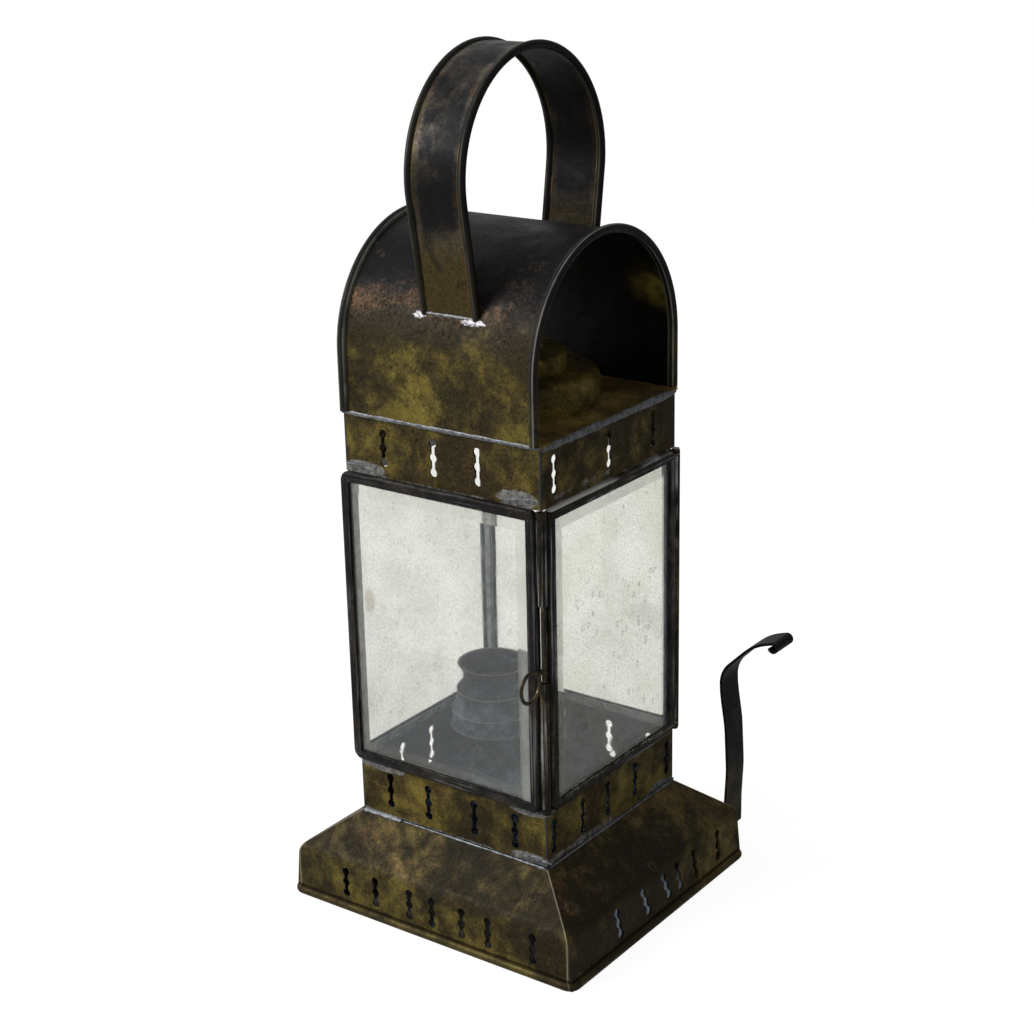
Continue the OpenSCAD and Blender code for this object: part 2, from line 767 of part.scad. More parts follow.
module pull_ring() {
    color("#b08d3a") difference() {
        translate(ring_c) rotate([0, 90, 0]) rotate_extrude()
            translate([ring_r, 0]) circle(ring_wire_r, $fn = fine);
        latch_bolt();
    }
}

foot_shell();
foot_wire();
floor_plate();
lower_collar();
candle_stem();
candle_cup();
front_frame();
left_frame();
back_frame();
front_glass();
left_glass();
back_glass();
upper_collar();
deck_plate();
chimney_crown();
roof_shell();
roof_wires();
handle_strap();
handle_wires();
rear_strap();
upper_knuckle();
lower_knuckle();
hinge_pin();
latch_tube();
door_frame();
door_glass();
door_knuckle();
keeper_tube();
latch_bolt();
pull_ring();
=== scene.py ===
"""Candle lantern: finishes, solder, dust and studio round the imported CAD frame.

Lengths are in metres. A finish's colours are written as on a screen, from 0 to 255.
"""

import math

import bpy
import numpy as np
from mathutils import Matrix, Vector


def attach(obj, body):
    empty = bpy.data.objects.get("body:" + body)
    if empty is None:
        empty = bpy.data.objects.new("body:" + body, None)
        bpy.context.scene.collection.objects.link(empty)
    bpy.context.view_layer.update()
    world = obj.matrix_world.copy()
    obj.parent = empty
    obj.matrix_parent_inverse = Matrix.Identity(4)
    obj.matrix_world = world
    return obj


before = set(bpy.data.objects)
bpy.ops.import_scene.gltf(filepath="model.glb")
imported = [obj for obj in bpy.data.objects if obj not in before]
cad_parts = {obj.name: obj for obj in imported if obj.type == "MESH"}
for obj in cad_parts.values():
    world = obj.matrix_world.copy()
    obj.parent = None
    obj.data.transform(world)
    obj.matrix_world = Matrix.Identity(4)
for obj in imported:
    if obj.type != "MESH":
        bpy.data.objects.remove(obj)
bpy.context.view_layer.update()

mm = 0.001

# ---- the lantern's own sizes ------------------------------------------------
# The origin is on the ground under the middle. A HALF runs out from it, a Z or a TOP is a height.

CAGE_HALF = 52.5 * mm  # glass cage, outside
PANEL_HALF = 48.2 * mm  # door; the front and back frames end here on the right
FRAME_T = 4.0 * mm  # depth of a channel frame
RAIL = 4.4 * mm  # face of a channel
PANE_INSET = 0.9 * mm  # from a channel's outer edge to its pane
GLASS_T = 2.2 * mm
GLASS_EDGE_T = 1.8 * mm  # what the grinding left at a pane's edge
BEVEL = 5.5 * mm  # visible width of the ground edge
LOWER_HALF = 50.0 * mm  # lower collar
UPPER_HALF = 50.2 * mm  # upper collar
SKIRT_X = 73.0 * mm  # foot's skirt, half width across
SKIRT_Y = 69.4 * mm  # foot's skirt, half depth
SPLAY = 2.4 * mm  # how far the skirt's left and right sides lean out at the ground
FOLD_Z = 24.0 * mm  # fold between the foot's slopes and its skirt
FOOT_TOP = 40.6 * mm
RIM_TOP = 4.0 * mm
Z_COLLAR = 41.4 * mm
Z_CAGE = 66.2 * mm
Z_TOP = 200.2 * mm  # top of the cage
Z_DECK = 226.0 * mm
Z_ARC = 252.0 * mm  # axis of the barrel roof
ROOF_R = 51.1 * mm
ROOF_HALF = 50.3 * mm
ROOF_ROLL = 4.0 * mm  # width of a rolled edge
HANDLE_X = 5.0 * mm  # middle of the handle
HANDLE_HALF = 14.7 * mm
HANDLE_ROLL = 3.7 * mm
BELT_Z = 324.0 * mm  # height at which the handle's painted shade is darkest
STRAP_GAP = 1.3 * mm  # between the skirt and the rear strap
STRAP_HALF = 7.2 * mm
CUP_RIDGES = (73.9 * mm, 81.5 * mm, 91.0 * mm, 103.1 * mm)
SKIN = 0.3 * mm  # an outside mask ends this deep in the sheet metal


# ---- short words for node trees ---------------------------------------------


class Board:
    """Places nodes in one tree. A number is typed into a socket and a socket is wired to it."""

    def __init__(self, tree):
        self.tree = tree

    def feed(self, socket, value):
        if isinstance(value, bpy.types.NodeSocket):
            self.tree.links.new(value, socket)
        else:
            socket.default_value = value

    def put(self, kind, sockets=None, **settings):
        node = self.tree.nodes.new(kind)
        for key, value in settings.items():
            setattr(node, key, value)
        for key, value in (sockets or {}).items():
            self.feed(node.inputs[key], value)
        return node

    def reckon(self, operation, *values):
        node = self.put("ShaderNodeMath", dict(enumerate(values)), operation=operation)
        return node.outputs[0]

    def sum(self, a, b):
        return self.reckon("ADD", a, b)

    def less(self, a, b):
        return self.reckon("SUBTRACT", a, b)

    def times(self, a, b):
        return self.reckon("MULTIPLY", a, b)

    def over(self, a, b):
        return self.reckon("DIVIDE", a, b)

    def power(self, a, b):
        return self.reckon("POWER", a, b)

    def most(self, a, b):
        return self.reckon("MAXIMUM", a, b)

    def least(self, a, b):
        return self.reckon("MINIMUM", a, b)

    def size(self, a):
        return self.reckon("ABSOLUTE", a)

    def rise(self, value, start, end, low=0.0, high=1.0):
        """Smooth step from low at start to high at end."""
        node = self.put("ShaderNodeMapRange", {0: value, 1: start, 2: end, 3: low, 4: high},
                        interpolation_type="SMOOTHSTEP", clamp=True)
        return node.outputs[0]

    def line(self, value, centre, width):
        """1 on the line where value is centre, falling to 0 at width beside it."""
        return self.rise(self.size(self.less(value, centre)), 0.0, width, 1.0, 0.0)

    def noise(self, where, scale, detail=3.0, rough=0.55, bend=0.0):
        node = self.put("ShaderNodeTexNoise", {"Vector": where, "Scale": scale, "Detail": detail,
                                               "Roughness": rough, "Distortion": bend})
        return node.outputs[0]

    def cells(self, where, scale):
        """Distance to the nearest of randomly strewn points."""
        node = self.put("ShaderNodeTexVoronoi", {"Vector": where, "Scale": scale})
        return node.outputs["Distance"]

    def blend(self, share, a, b):
        """From colour a at share 0 to colour b at share 1."""
        node = self.put("ShaderNodeMix", {0: share, 6: a, 7: b}, data_type="RGBA")
        return node.outputs[2]

    def lay(self, base, tone, mask, share):
        """A tone laid over the base where the mask is 1, at that share."""
        return self.blend(self.times(mask, share), base, tone)

    def shade(self, tone, factor):
        """A colour made lighter or darker by a factor."""
        node = self.put("ShaderNodeVectorMath", {0: tone, "Scale": factor}, operation="SCALE")
        return node.outputs[0]

    def place(self):
        """Object coordinates, whole and as x, y and z."""
        whole = self.put("ShaderNodeTexCoord").outputs["Object"]
        parts = self.put("ShaderNodeSeparateXYZ", {0: whole}).outputs
        return whole, parts[0], parts[1], parts[2]

    def stretch(self, where, scale=(1.0, 1.0, 1.0), shift=(0.0, 0.0, 0.0)):
        node = self.put("ShaderNodeMapping", {"Vector": where, "Scale": scale, "Location": shift})
        return node.outputs[0]


def colour(r, g, b):
    """A screen colour of 0 to 255 as the linear colour that a shader takes."""
    c = np.array([r, g, b]) / 255.0
    lin = np.where(c <= 0.04045, c / 12.92, ((c + 0.055) / 1.055) ** 2.4)
    return (*[float(v) for v in lin], 1.0)


def shared_group(name, inputs, outputs):
    """An empty node group with those sockets, its board and its two end nodes."""
    kinds = {"float": "NodeSocketFloat", "colour": "NodeSocketColor", "vector": "NodeSocketVector"}
    tree = bpy.data.node_groups.new(name, "ShaderNodeTree")
    for label, kind, value in inputs:
        socket = tree.interface.new_socket(name=label, in_out="INPUT", socket_type=kinds[kind])
        if value is not None:
            socket.default_value = value
    for label, kind in outputs:
        tree.interface.new_socket(name=label, in_out="OUTPUT", socket_type=kinds[kind])
    board = Board(tree)
    return tree, board, board.put("NodeGroupInput").outputs, board.put("NodeGroupOutput").inputs


# ---- effects that several finishes share ------------------------------------
# A noise of scale n has features of about 1/n metre: 21 gives broad patches, 1700 a fine grain.

PIT_BROWN = colour(24, 20, 13)
SMEAR_DARK = colour(84, 84, 84)
SMEAR_LIGHT = colour(150, 150, 146)


def tarnish_effect():
    """Old sheet brass. Broad and fine noise plus Darker is the patina: bright where that sum is low.
    Dull smudges and Heat stains, spread by Hotter, lie over it. Pitting strews dark dots, and a fine
    grain varies the whole."""
    tree, b, given, out = shared_group(
        "tarnish",
        [("Where", "vector", None), ("Bright", "colour", None), ("Dull", "colour", None),
         ("Heat", "colour", None), ("Darker", "float", 0.0), ("Hotter", "float", 0.0),
         ("Pitting", "float", 1.0), ("Grain", "float", 1.0)],
        [("Colour", "colour"), ("Roughness", "float"), ("Height", "float")])
    where = given["Where"]
    broad = b.noise(where, b.times(given["Grain"], 21.0), 4.0, 0.6, 0.6)
    mottle = b.noise(where, b.times(given["Grain"], 98.0), 7.0, 0.68, 0.2)
    speck = b.noise(where, 760.0, 3.0, 0.7)
    grain = b.noise(where, 1700.0, 2.0, 0.6)

    mixed = b.sum(b.times(broad, 0.55), b.times(mottle, 0.45))
    bare = b.rise(b.sum(mixed, given["Darker"]), 0.37, 0.62, 1.0, 0.0)
    dullness = b.less(1.0, b.power(bare, 1.8))
    base = b.blend(dullness, given["Bright"], given["Dull"])

    other = b.stretch(where, shift=(0.31, 0.17, 0.43))
    smudge = b.rise(b.noise(other, b.times(given["Grain"], 34.0), 5.0, 0.62, 1.2), 0.54, 0.66)
    base = b.lay(base, given["Dull"], smudge, 0.62)
    stain = b.sum(b.noise(other, 55.0, 6.0, 0.7), b.times(b.less(speck, 0.5), 0.5))
    stain = b.rise(b.sum(stain, given["Hotter"]), 0.42, 0.84)
    base = b.lay(base, given["Heat"], stain, 0.7)

    dots = b.times(b.rise(b.noise(where, 640.0, 2.0, 0.6), 0.55, 0.65), b.rise(mottle, 0.36, 0.62))
    dots = b.times(dots, given["Pitting"])
    base = b.lay(base, PIT_BROWN, dots, 0.75)
    even = b.times(b.rise(grain, 0.3, 0.7, 0.64, 1.36), b.rise(speck, 0.28, 0.72, 0.72, 1.3))
    b.feed(out["Colour"], b.shade(base, even))

    rough = b.sum(b.times(dullness, 0.14), b.times(mottle, 0.2))
    b.feed(out["Roughness"], b.sum(rough, b.times(dots, 0.15)))
    fine = b.sum(b.times(speck, 0.3), b.times(dots, -0.5))
    b.feed(out["Height"], b.sum(b.times(mottle, 0.5), fine))
    return tree


def dents_effect():
    """Hand-beaten sheet: two slow noises give the height of shallow dents."""
    tree, b, given, out = shared_group("dents", [("Where", "vector", None)], [("Height", "float")])
    slow = b.noise(given["Where"], 45.0, 1.0, 0.4)
    quick = b.noise(given["Where"], 139.5, 2.0, 0.5)
    b.feed(out["Height"], b.sum(slow, b.times(quick, 0.25)))
    return tree


def scratches_effect():
    """Fine streaks along a bar: noise pulled long in Z, or in X and Y where Level is 1."""
    tree, b, given, out = shared_group(
        "scratches", [("Where", "vector", None), ("Level", "float", 0.0), ("Amount", "float", 0.5)],
        [("Mask", "float")])
    across, along = 820.0, 17.0
    upright = b.noise(b.stretch(given["Where"], (across, across, along)), 1.0, 3.0, 0.6)
    level = b.noise(b.stretch(given["Where"], (along, along, across)), 1.0, 3.0, 0.6)
    mixed = b.sum(b.times(level, given["Level"]), b.times(upright, b.less(1.0, given["Level"])))
    patchy = b.rise(b.noise(given["Where"], 48.0, 3.0), 0.38, 0.62)
    b.feed(out["Mask"], b.times(b.times(b.rise(mixed, 0.5, 0.68), patchy), given["Amount"]))
    return tree


def smear_effect():
    """Solder wiped over the sheet: a band mask broken up at its edge by noise."""
    tree, b, given, out = shared_group(
        "solder_smear", [("Where", "vector", None), ("Band", "float", 0.0)],
        [("Mask", "float"), ("Colour", "colour")])
    ragged = b.noise(given["Where"], 95.0, 6.0, 0.7, 0.5)
    b.feed(out["Mask"], b.rise(b.sum(ragged, given["Band"]), 1.02, 1.16))
    tone = b.noise(given["Where"], 420.0, 4.0, 0.6)
    b.feed(out["Colour"], b.blend(b.rise(tone, 0.35, 0.65), SMEAR_DARK, SMEAR_LIGHT))
    return tree


EFFECTS = {"tarnish": tarnish_effect(), "dents": dents_effect(),
           "scratches": scratches_effect(), "smear": smear_effect()}


class Finish(Board):
    """A material with one Principled shader, whose own numbers are typed into its sockets."""

    def __init__(self, name, metallic=0.35, specular=0.12, **sockets):
        self.material = bpy.data.materials.new(name)
        self.material.use_nodes = True
        super().__init__(self.material.node_tree)
        self.tree.nodes.clear()
        self.shader = self.put("ShaderNodeBsdfPrincipled", {
            "Metallic": metallic, "Specular IOR Level": specular, **sockets})
        end = self.put("ShaderNodeOutputMaterial")
        self.tree.links.new(self.shader.outputs[0], end.inputs[0])
        self.where, self.x, self.y, self.z = self.place()

    def effect(self, name, **sockets):
        node = self.put("ShaderNodeGroup", node_tree=EFFECTS[name])
        for label, value in {"Where": self.where, **sockets}.items():
            self.feed(node.inputs[label], value)
        return node.outputs

    def wiped(self, base, band, share):
        """The base with wiped solder over it, where the band is high."""
        smear = self.effect("smear", Band=band)
        return self.lay(base, smear["Colour"], smear["Mask"], share)

    def outside_of(self, half):
        """1 on the outer skin of an upright square tube of that half width, 0 inside it."""
        out_x = self.rise(self.size(self.x), half - SKIN, half - SKIN / 2)
        out_y = self.rise(self.size(self.y), half - SKIN, half - SKIN / 2)
        return self.most(out_x, out_y)

    def off_oval(self, x, z, reach_x, reach_z):
        """Squared distance from the middle of an upright oval: 1 on its edge."""
        off_x = self.times(self.less(self.x, x), 1 / reach_x)
        off_z = self.times(self.less(self.z, z), 1 / reach_z)
        return self.sum(self.times(off_x, off_x), self.times(off_z, off_z))

    def wear(self, base, rough, height=None, relief=0.25 * mm, metallic=None, dent=0.0):
        """Wires the finish up: colour, roughness, and height as relief over shallow dents."""
        self.feed(self.shader.inputs["Base Color"], base)
        self.feed(self.shader.inputs["Roughness"], rough)
        if metallic is not None:
            self.feed(self.shader.inputs["Metallic"], metallic)
        layers = []
        if dent:
            layers.append((dent, self.effect("dents")["Height"]))
        if height is not None:
            layers.append((relief, height))
        normal = None
        for depth, hills in layers:
            bump = self.put("ShaderNodeBump", {"Strength": 1.0, "Distance": depth, "Height": hills})
            if normal is not None:
                self.feed(bump.inputs["Normal"], normal)
            normal = bump.outputs[0]
        if normal is not None:
            self.feed(self.shader.inputs["Normal"], normal)
        return self.material


# ---- finishes ---------------------------------------------------------------

BRIGHT_BRASS = colour(122, 107, 50)
SKIRT_BRASS = colour(110, 96, 44)
SLOPE_BRASS = colour(103, 88, 49)
DARK_PATINA = colour(48, 41, 24)
SKIRT_PATINA = colour(42, 36, 21)
SLOPE_PATINA = colour(38, 34, 23)
TOP_SHEEN = colour(36, 34, 36)
TOP_BLACK = colour(18, 17, 20)
HEAT_BROWN = colour(104, 70, 44)
SHOULDER_BROWN = colour(112, 84, 58)
# The colour below is the near black inside the roof.
ROOF_INSIDE_BLACK = colour(4, 4, 4)
CORNER_LEAD = colour(52, 56, 62)
ROLL_GREY = colour(34, 34, 34)
# The colour below is the painted highlight on the roof's rolled ends.
ROLL_HIGHLIGHT = colour(150, 148, 138)
HIP_LIGHT = colour(158, 150, 124)
STREAK_LIGHT = colour(196, 200, 200)


def collar_finish(name, half, low, high, inner, darker, spots):
    """Olive speckled brass outside and the inner tone inside. Solder is wiped along the collar's ends,
    up its corners, and over spots on the front: (x, z, reach along x, reach along z) in mm."""
    f = Finish(name)
    worn = f.effect("tarnish", Bright=BRIGHT_BRASS, Dull=DARK_PATINA, Heat=HEAT_BROWN,
                    Darker=darker, Hotter=-0.1, Pitting=0.9)
    corner = f.rise(f.least(f.size(f.x), f.size(f.y)), half - 1.3 * mm, half - 0.5 * mm)
    base = f.lay(worn["Colour"], CORNER_LEAD, corner, 0.75)
    below = f.rise(f.z, low, low + 2.6 * mm, 0.62, 0.0)
    above = f.rise(f.z, high - 3.2 * mm, high, 0.0, 0.66)
    band = f.most(below, above)
    front = f.rise(f.y, 0.0, -1 * mm)
    for x, z, reach_x, reach_z in spots:
        far = f.off_oval(x * mm, z * mm, reach_x * mm, reach_z * mm)
        band = f.most(band, f.times(f.rise(far, 0.0, 2.2, 0.84, 0.0), front))
    base = f.wiped(base, band, 0.8)
    outside = f.outside_of(half)
    base = f.blend(outside, inner, base)
    return f.wear(base, f.sum(worn["Roughness"], 0.34), worn["Height"], relief=0.12 * mm,
                  metallic=f.times(outside, 0.35), dent=0.8 * mm)


def roof_finish():
    """Speckled olive on the upright sides, heat brown at the shoulder, darker towards the top, near
    black inside with a painted reflection, an olive patch, on the right. Thin painted highlights run
    along both edges of the rolled ends."""
    f = Finish("roof_brass")
    above = f.most(f.less(f.z, Z_ARC), 0.0)
    radius = f.power(f.sum(f.times(f.y, f.y), f.times(above, above)), 0.5)
    # The top is darker, by height alone.
    top = f.rise(f.z, Z_ARC + 4 * mm, Z_ARC + 34 * mm)
    hotter_left = f.rise(f.x, -25 * mm, 40 * mm, 0.2, 0.13)
    heat = f.times(f.line(f.z, Z_ARC + 24 * mm, 15 * mm), hotter_left)
    dark_band = f.line(f.z, Z_ARC + 11 * mm, 9 * mm)
    worn = f.effect("tarnish", Bright=f.blend(top, BRIGHT_BRASS, TOP_SHEEN),
                    Dull=f.blend(top, DARK_PATINA, TOP_BLACK), Heat=SHOULDER_BROWN,
                    Darker=f.sum(f.times(top, 0.1), f.times(dark_band, 0.07)),
                    Hotter=f.sum(heat, -0.16), Pitting=0.9)
    along = f.size(f.x)
    flat = ROOF_HALF - ROOF_ROLL
    rolled = f.rise(along, flat, flat + 0.4 * mm)
    base = f.lay(worn["Colour"], ROLL_GREY, rolled, 0.8)
    # Painted highlights: thin light lines along both edges of each rolled end.
    edges = f.most(f.line(along, flat + 0.5 * mm, 0.45 * mm),
                   f.line(along, flat + 2.9 * mm, 0.4 * mm))
    broken = f.rise(f.noise(f.where, 60.0, 3.0), 0.3, 0.56, 0.25, 1.0)
    base = f.lay(base, ROLL_HIGHLIGHT, f.times(edges, broken), 0.8)
    # Painted reflection: an olive sheen on the inside of the barrel, on the right.
    patch = f.times(f.line(f.z, Z_ARC + 20 * mm, 15 * mm), f.rise(f.x, 26 * mm, 44 * mm))
    patch = f.times(patch, f.rise(f.y, 20 * mm, 42 * mm))
    patch = f.times(patch, f.rise(f.noise(f.where, 60.0, 5.0), 0.38, 0.6))
    outside = f.most(f.rise(radius, ROOF_R - 0.5 * mm, ROOF_R - 0.3 * mm), rolled)
    base = f.blend(outside, f.blend(patch, ROOF_INSIDE_BLACK, colour(134, 120, 48)), base)
    return f.wear(base, f.sum(worn["Roughness"], 0.26), worn["Height"], relief=0.1 * mm,
                  metallic=f.times(outside, 0.4), dent=1.3 * mm)


def foot_finish():
    """Brown slopes over an olive skirt, a light folded edge down each hip, a painted shade line in the
    crease over the rim, dull inside."""
    f = Finish("foot_brass")
    slope = f.rise(f.z, FOLD_Z - 3 * mm, FOLD_Z + 1 * mm)
    worn = f.effect("tarnish", Bright=f.blend(slope, SKIRT_BRASS, SLOPE_BRASS),
                    Dull=f.blend(slope, SKIRT_PATINA, SLOPE_PATINA), Heat=HEAT_BROWN,
                    Darker=f.times(slope, 0.01), Hotter=-0.12,
                    Pitting=f.rise(slope, 0.0, 1.0, 0.7, 0.3))
    far_x = f.over(f.less(f.size(f.x), LOWER_HALF), SKIRT_X - LOWER_HALF)
    far_y = f.over(f.less(f.size(f.y), LOWER_HALF), SKIRT_Y - LOWER_HALF)
    hip = f.line(f.less(far_x, far_y), 0.0, 0.035)
    base = f.lay(worn["Colour"], HIP_LIGHT, hip, 0.6)
    rim = f.rise(f.z, RIM_TOP, RIM_TOP - 0.3 * mm)
    base = f.lay(base, colour(50, 44, 28), rim, 0.5)
    # Painted shade: a dark line in the crease just over the rim.
    base = f.lay(base, colour(12, 10, 6), f.line(f.z, RIM_TOP + 0.2 * mm, 0.9 * mm), 0.9)
    base = f.wiped(base, f.rise(f.z, FOOT_TOP - 2.2 * mm, FOOT_TOP, 0.0, 0.56), 0.8)
    straightened = f.less(f.size(f.x), f.rise(f.z, 0.0, FOLD_Z, SPLAY, 0.0))
    out_x = f.rise(straightened, SKIRT_X - 1.3 * mm, SKIRT_X - 1.0 * mm)
    out_y = f.rise(f.size(f.y), SKIRT_Y - 0.6 * mm, SKIRT_Y - 0.3 * mm)
    top = f.rise(f.z, FOLD_Z - 4 * mm, FOLD_Z - 3 * mm)
    outside = f.most(f.most(out_x, out_y), f.most(top, rim))
    base = f.blend(outside, colour(50, 55, 62), base)
    return f.wear(base, f.sum(worn["Roughness"], 0.33), worn["Height"], relief=0.12 * mm,
                  metallic=f.times(outside, 0.35), dent=1.1 * mm)


def handle_finish():
    """Black patina, olive towards the feet and beside the rolled edges, with painted shade darkest at
    one height between and thin painted highlights along the rolls. The far leg is darker than the near
    one, as painted shade."""
    f = Finish("handle_brass", metallic=0.4)
    beside = f.size(f.less(f.x, HANDLE_X))
    flat = HANDLE_HALF - HANDLE_ROLL
    low = f.rise(f.z, BELT_Z - 6 * mm, BELT_Z - 32 * mm)
    rub = f.line(beside, flat - 1.1 * mm, 2.8 * mm)
    darker = f.sum(f.times(low, -0.2), f.times(rub, -0.1))
    worn = f.effect("tarnish", Bright=f.blend(low, colour(84, 77, 66), colour(66, 55, 27)),
                    Dull=f.blend(low, colour(23, 23, 25), colour(23, 20, 15)),
                    Heat=colour(92, 62, 28), Darker=f.sum(darker, 0.06),
                    Hotter=f.sum(f.times(rub, 0.22), -0.22), Pitting=0.5)
    # Painted shade: the far leg darker, and the handle darkest at one height.
    far_leg_shade = f.rise(f.y, 0.0, 22 * mm, 1.0, 0.34)
    belt_shade = f.rise(f.size(f.less(f.z, BELT_Z)), 6 * mm, 22 * mm, 0.42, 1.0)
    base = f.shade(worn["Colour"], f.times(far_leg_shade, belt_shade))
    rolled = f.rise(beside, flat, flat + 0.4 * mm)
    base = f.lay(base, colour(26, 26, 24), rolled, 0.8)
    # Painted highlights: thin light lines along both sides of each roll.
    broken = f.rise(f.noise(f.where, 45.0, 3.0), 0.38, 0.6)
    inner_highlight = f.times(f.line(beside, flat + 0.1 * mm, 0.5 * mm), broken)
    base = f.lay(base, colour(112, 98, 54), inner_highlight, 0.7)
    outer_highlight = f.times(f.line(beside, flat + 2.2 * mm, 0.5 * mm), broken)
    base = f.lay(base, colour(110, 106, 92), outer_highlight, 0.4)
    return f.wear(base, f.sum(worn["Roughness"], 0.24), worn["Height"], relief=0.08 * mm, dent=0.9 * mm)


def channel_finish(name, dull, bright, share, top_highlight=False):
    """Leaded channel: near black, with light streaks along its length, at that share. A flag adds a
    painted highlight along the front half of the top rail. Inside the cage it is a mottled grey, light
    down the soldered corners at the left; at the near corner the pale grey is painted light."""
    f = Finish(name, metallic=0.2)
    worn = f.effect("tarnish", Bright=bright, Dull=dull, Heat=colour(58, 48, 46), Darker=0.02,
                    Hotter=-0.04, Pitting=0.3, Grain=1.6)
    foot_rail = f.rise(f.z, Z_CAGE + RAIL, Z_CAGE + RAIL - 1 * mm)
    top_rail = f.rise(f.z, Z_TOP - RAIL, Z_TOP - RAIL + 1 * mm)
    streaks = f.effect("scratches", Level=f.most(foot_rail, top_rail), Amount=share)["Mask"]
    base = f.blend(streaks, worn["Colour"], STREAK_LIGHT)
    base = f.wiped(base, 0.38, 0.6)
    if top_highlight:
        # Painted highlight: a light line along the top edge of the rail.
        edge = f.times(f.rise(f.z, Z_TOP - 1.3 * mm, Z_TOP - 0.9 * mm), f.rise(f.y, 6 * mm, -12 * mm))
        base = f.lay(base, colour(205, 204, 196), edge, 0.85)
    back_corner = f.times(f.rise(f.x, -40 * mm, -44 * mm), f.rise(f.y, 40 * mm, 44 * mm))
    # Painted light: the near corner's inside is made pale like the lit pane in front of it.
    near_corner_painted_light = f.times(f.rise(f.x, -38 * mm, -42 * mm), f.rise(f.y, -38 * mm, -42 * mm))
    inner = f.blend(back_corner, colour(146, 151, 154), colour(178, 184, 188))
    inner = f.blend(near_corner_painted_light, inner, colour(170, 173, 168))
    inner = f.shade(inner, f.rise(f.noise(f.where, 210.0, 4.0, 0.7), 0.36, 0.64, 0.72, 1.2))
    base = f.blend(f.outside_of(CAGE_HALF - FRAME_T + 0.5 * mm), inner, base)
    return f.wear(base, f.sum(worn["Roughness"], 0.22), worn["Height"], relief=0.06 * mm, dent=0.5 * mm)


def plain_finish(name, bright, dull, rough, metallic=0.5):
    """A tarnished sheet with no marks of its own."""
    f = Finish(name, metallic)
    worn = f.effect("tarnish", Bright=bright, Dull=dull, Heat=HEAT_BROWN, Darker=0.0, Hotter=-0.1,
                    Pitting=0.6)
    return f.wear(worn["Colour"], f.sum(worn["Roughness"], rough), worn["Height"], relief=0.1 * mm,
                  dent=0.6 * mm)


def floor_finish():
    """Blue-black tin, strewn with light dried specks in clouds."""
    f = Finish("floor_metal", metallic=0.0, specular=0.03)
    worn = f.effect("tarnish", Bright=colour(62, 80, 100), Dull=colour(14, 20, 32), Heat=HEAT_BROWN,
                    Darker=0.0, Hotter=-0.2, Pitting=0.0, Grain=1.6)
    speck = f.rise(f.noise(f.where, 430.0, 4.0, 0.75), 0.56, 0.7)
    cloud = f.rise(f.noise(f.where, 60.0, 3.0), 0.38, 0.6)
    base = f.lay(worn["Colour"], colour(160, 172, 180), f.times(speck, cloud), 0.55)
    return f.wear(base, f.sum(worn["Roughness"], 0.5), worn["Height"], relief=0.03 * mm)


def cup_finish():
    """Dark tin, darker towards the top, with a light ridge round each tier and the rim."""
    f = Finish("cup_metal", specular=0.3)
    worn = f.effect("tarnish", Bright=colour(102, 113, 124), Dull=colour(26, 34, 44),
                    Heat=colour(60, 56, 50), Darker=f.rise(f.z, 80 * mm, 100 * mm, -0.04, 0.06),
                    Hotter=-0.1, Pitting=0.4, Grain=1.5)
    ridges = f.line(f.z, CUP_RIDGES[0], 0.55 * mm)
    for height in CUP_RIDGES[1:]:
        ridges = f.most(ridges, f.line(f.z, height, 0.55 * mm))
    base = f.lay(worn["Colour"], colour(170, 166, 150), ridges, 0.55)
    return f.wear(base, f.sum(worn["Roughness"], 0.36), worn["Height"], relief=0.08 * mm)


def strap_finish():
    """Dark strap, blue-black above as painted shade, olive brown by the foot, with painted highlights in
    brown along its edges.
    """
    f = Finish("strap_metal", metallic=0.1)
    # Painted shade: darker and bluer above the foot.
    low = f.rise(f.z, 62 * mm, 24 * mm)
    worn = f.effect("tarnish", Bright=f.blend(low, colour(26, 27, 34), colour(66, 58, 30)),
                    Dull=f.blend(low, colour(9, 10, 13), colour(20, 18, 10)), Heat=colour(60, 42, 24),
                    Darker=f.rise(low, 0.0, 1.0, 0.1, -0.04), Hotter=-0.16, Pitting=0.4)
    # Painted highlight along both edges, stronger by the foot.
    middle = SKIRT_Y + STRAP_GAP + STRAP_HALF
    edge_highlight = f.line(f.size(f.less(f.y, middle)), STRAP_HALF, 0.9 * mm)
    share = f.sum(f.times(low, 0.15), 0.2)
    base = f.lay(worn["Colour"], colour(84, 66, 42), edge_highlight, share)
    return f.wear(base, f.sum(worn["Roughness"], 0.22), worn["Height"], relief=0.06 * mm)


def solder_finish(name, bright, dull):
    """Soft solder: light grey, lumpy and finely pitted."""
    f = Finish(name, metallic=0.8, specular=0.4)
    tone = f.noise(f.where, 480.0, 5.0, 0.65)
    base = f.blend(f.rise(tone, 0.36, 0.62), dull, bright)
    pits = f.rise(f.noise(f.where, 1600.0, 2.0), 0.62, 0.7)
    base = f.lay(base, colour(60, 58, 52), pits, 0.6)
    lumps = f.sum(f.noise(f.where, 700.0, 3.0), f.times(pits, -0.4))
    return f.wear(base, f.sum(f.times(tone, 0.3), 0.3), lumps)


def wire_finish():
    """Bolt wire and ring: handled bright brass over brown."""
    f = Finish("bolt_brass", metallic=0.7, specular=0.5)
    worn = f.effect("tarnish", Bright=colour(104, 94, 66), Dull=colour(48, 41, 26),
                    Heat=colour(84, 62, 36), Darker=0.02, Hotter=-0.1, Pitting=0.5, Grain=2.5)
    return f.wear(worn["Colour"], f.sum(worn["Roughness"], 0.06), worn["Height"], relief=0.05 * mm)


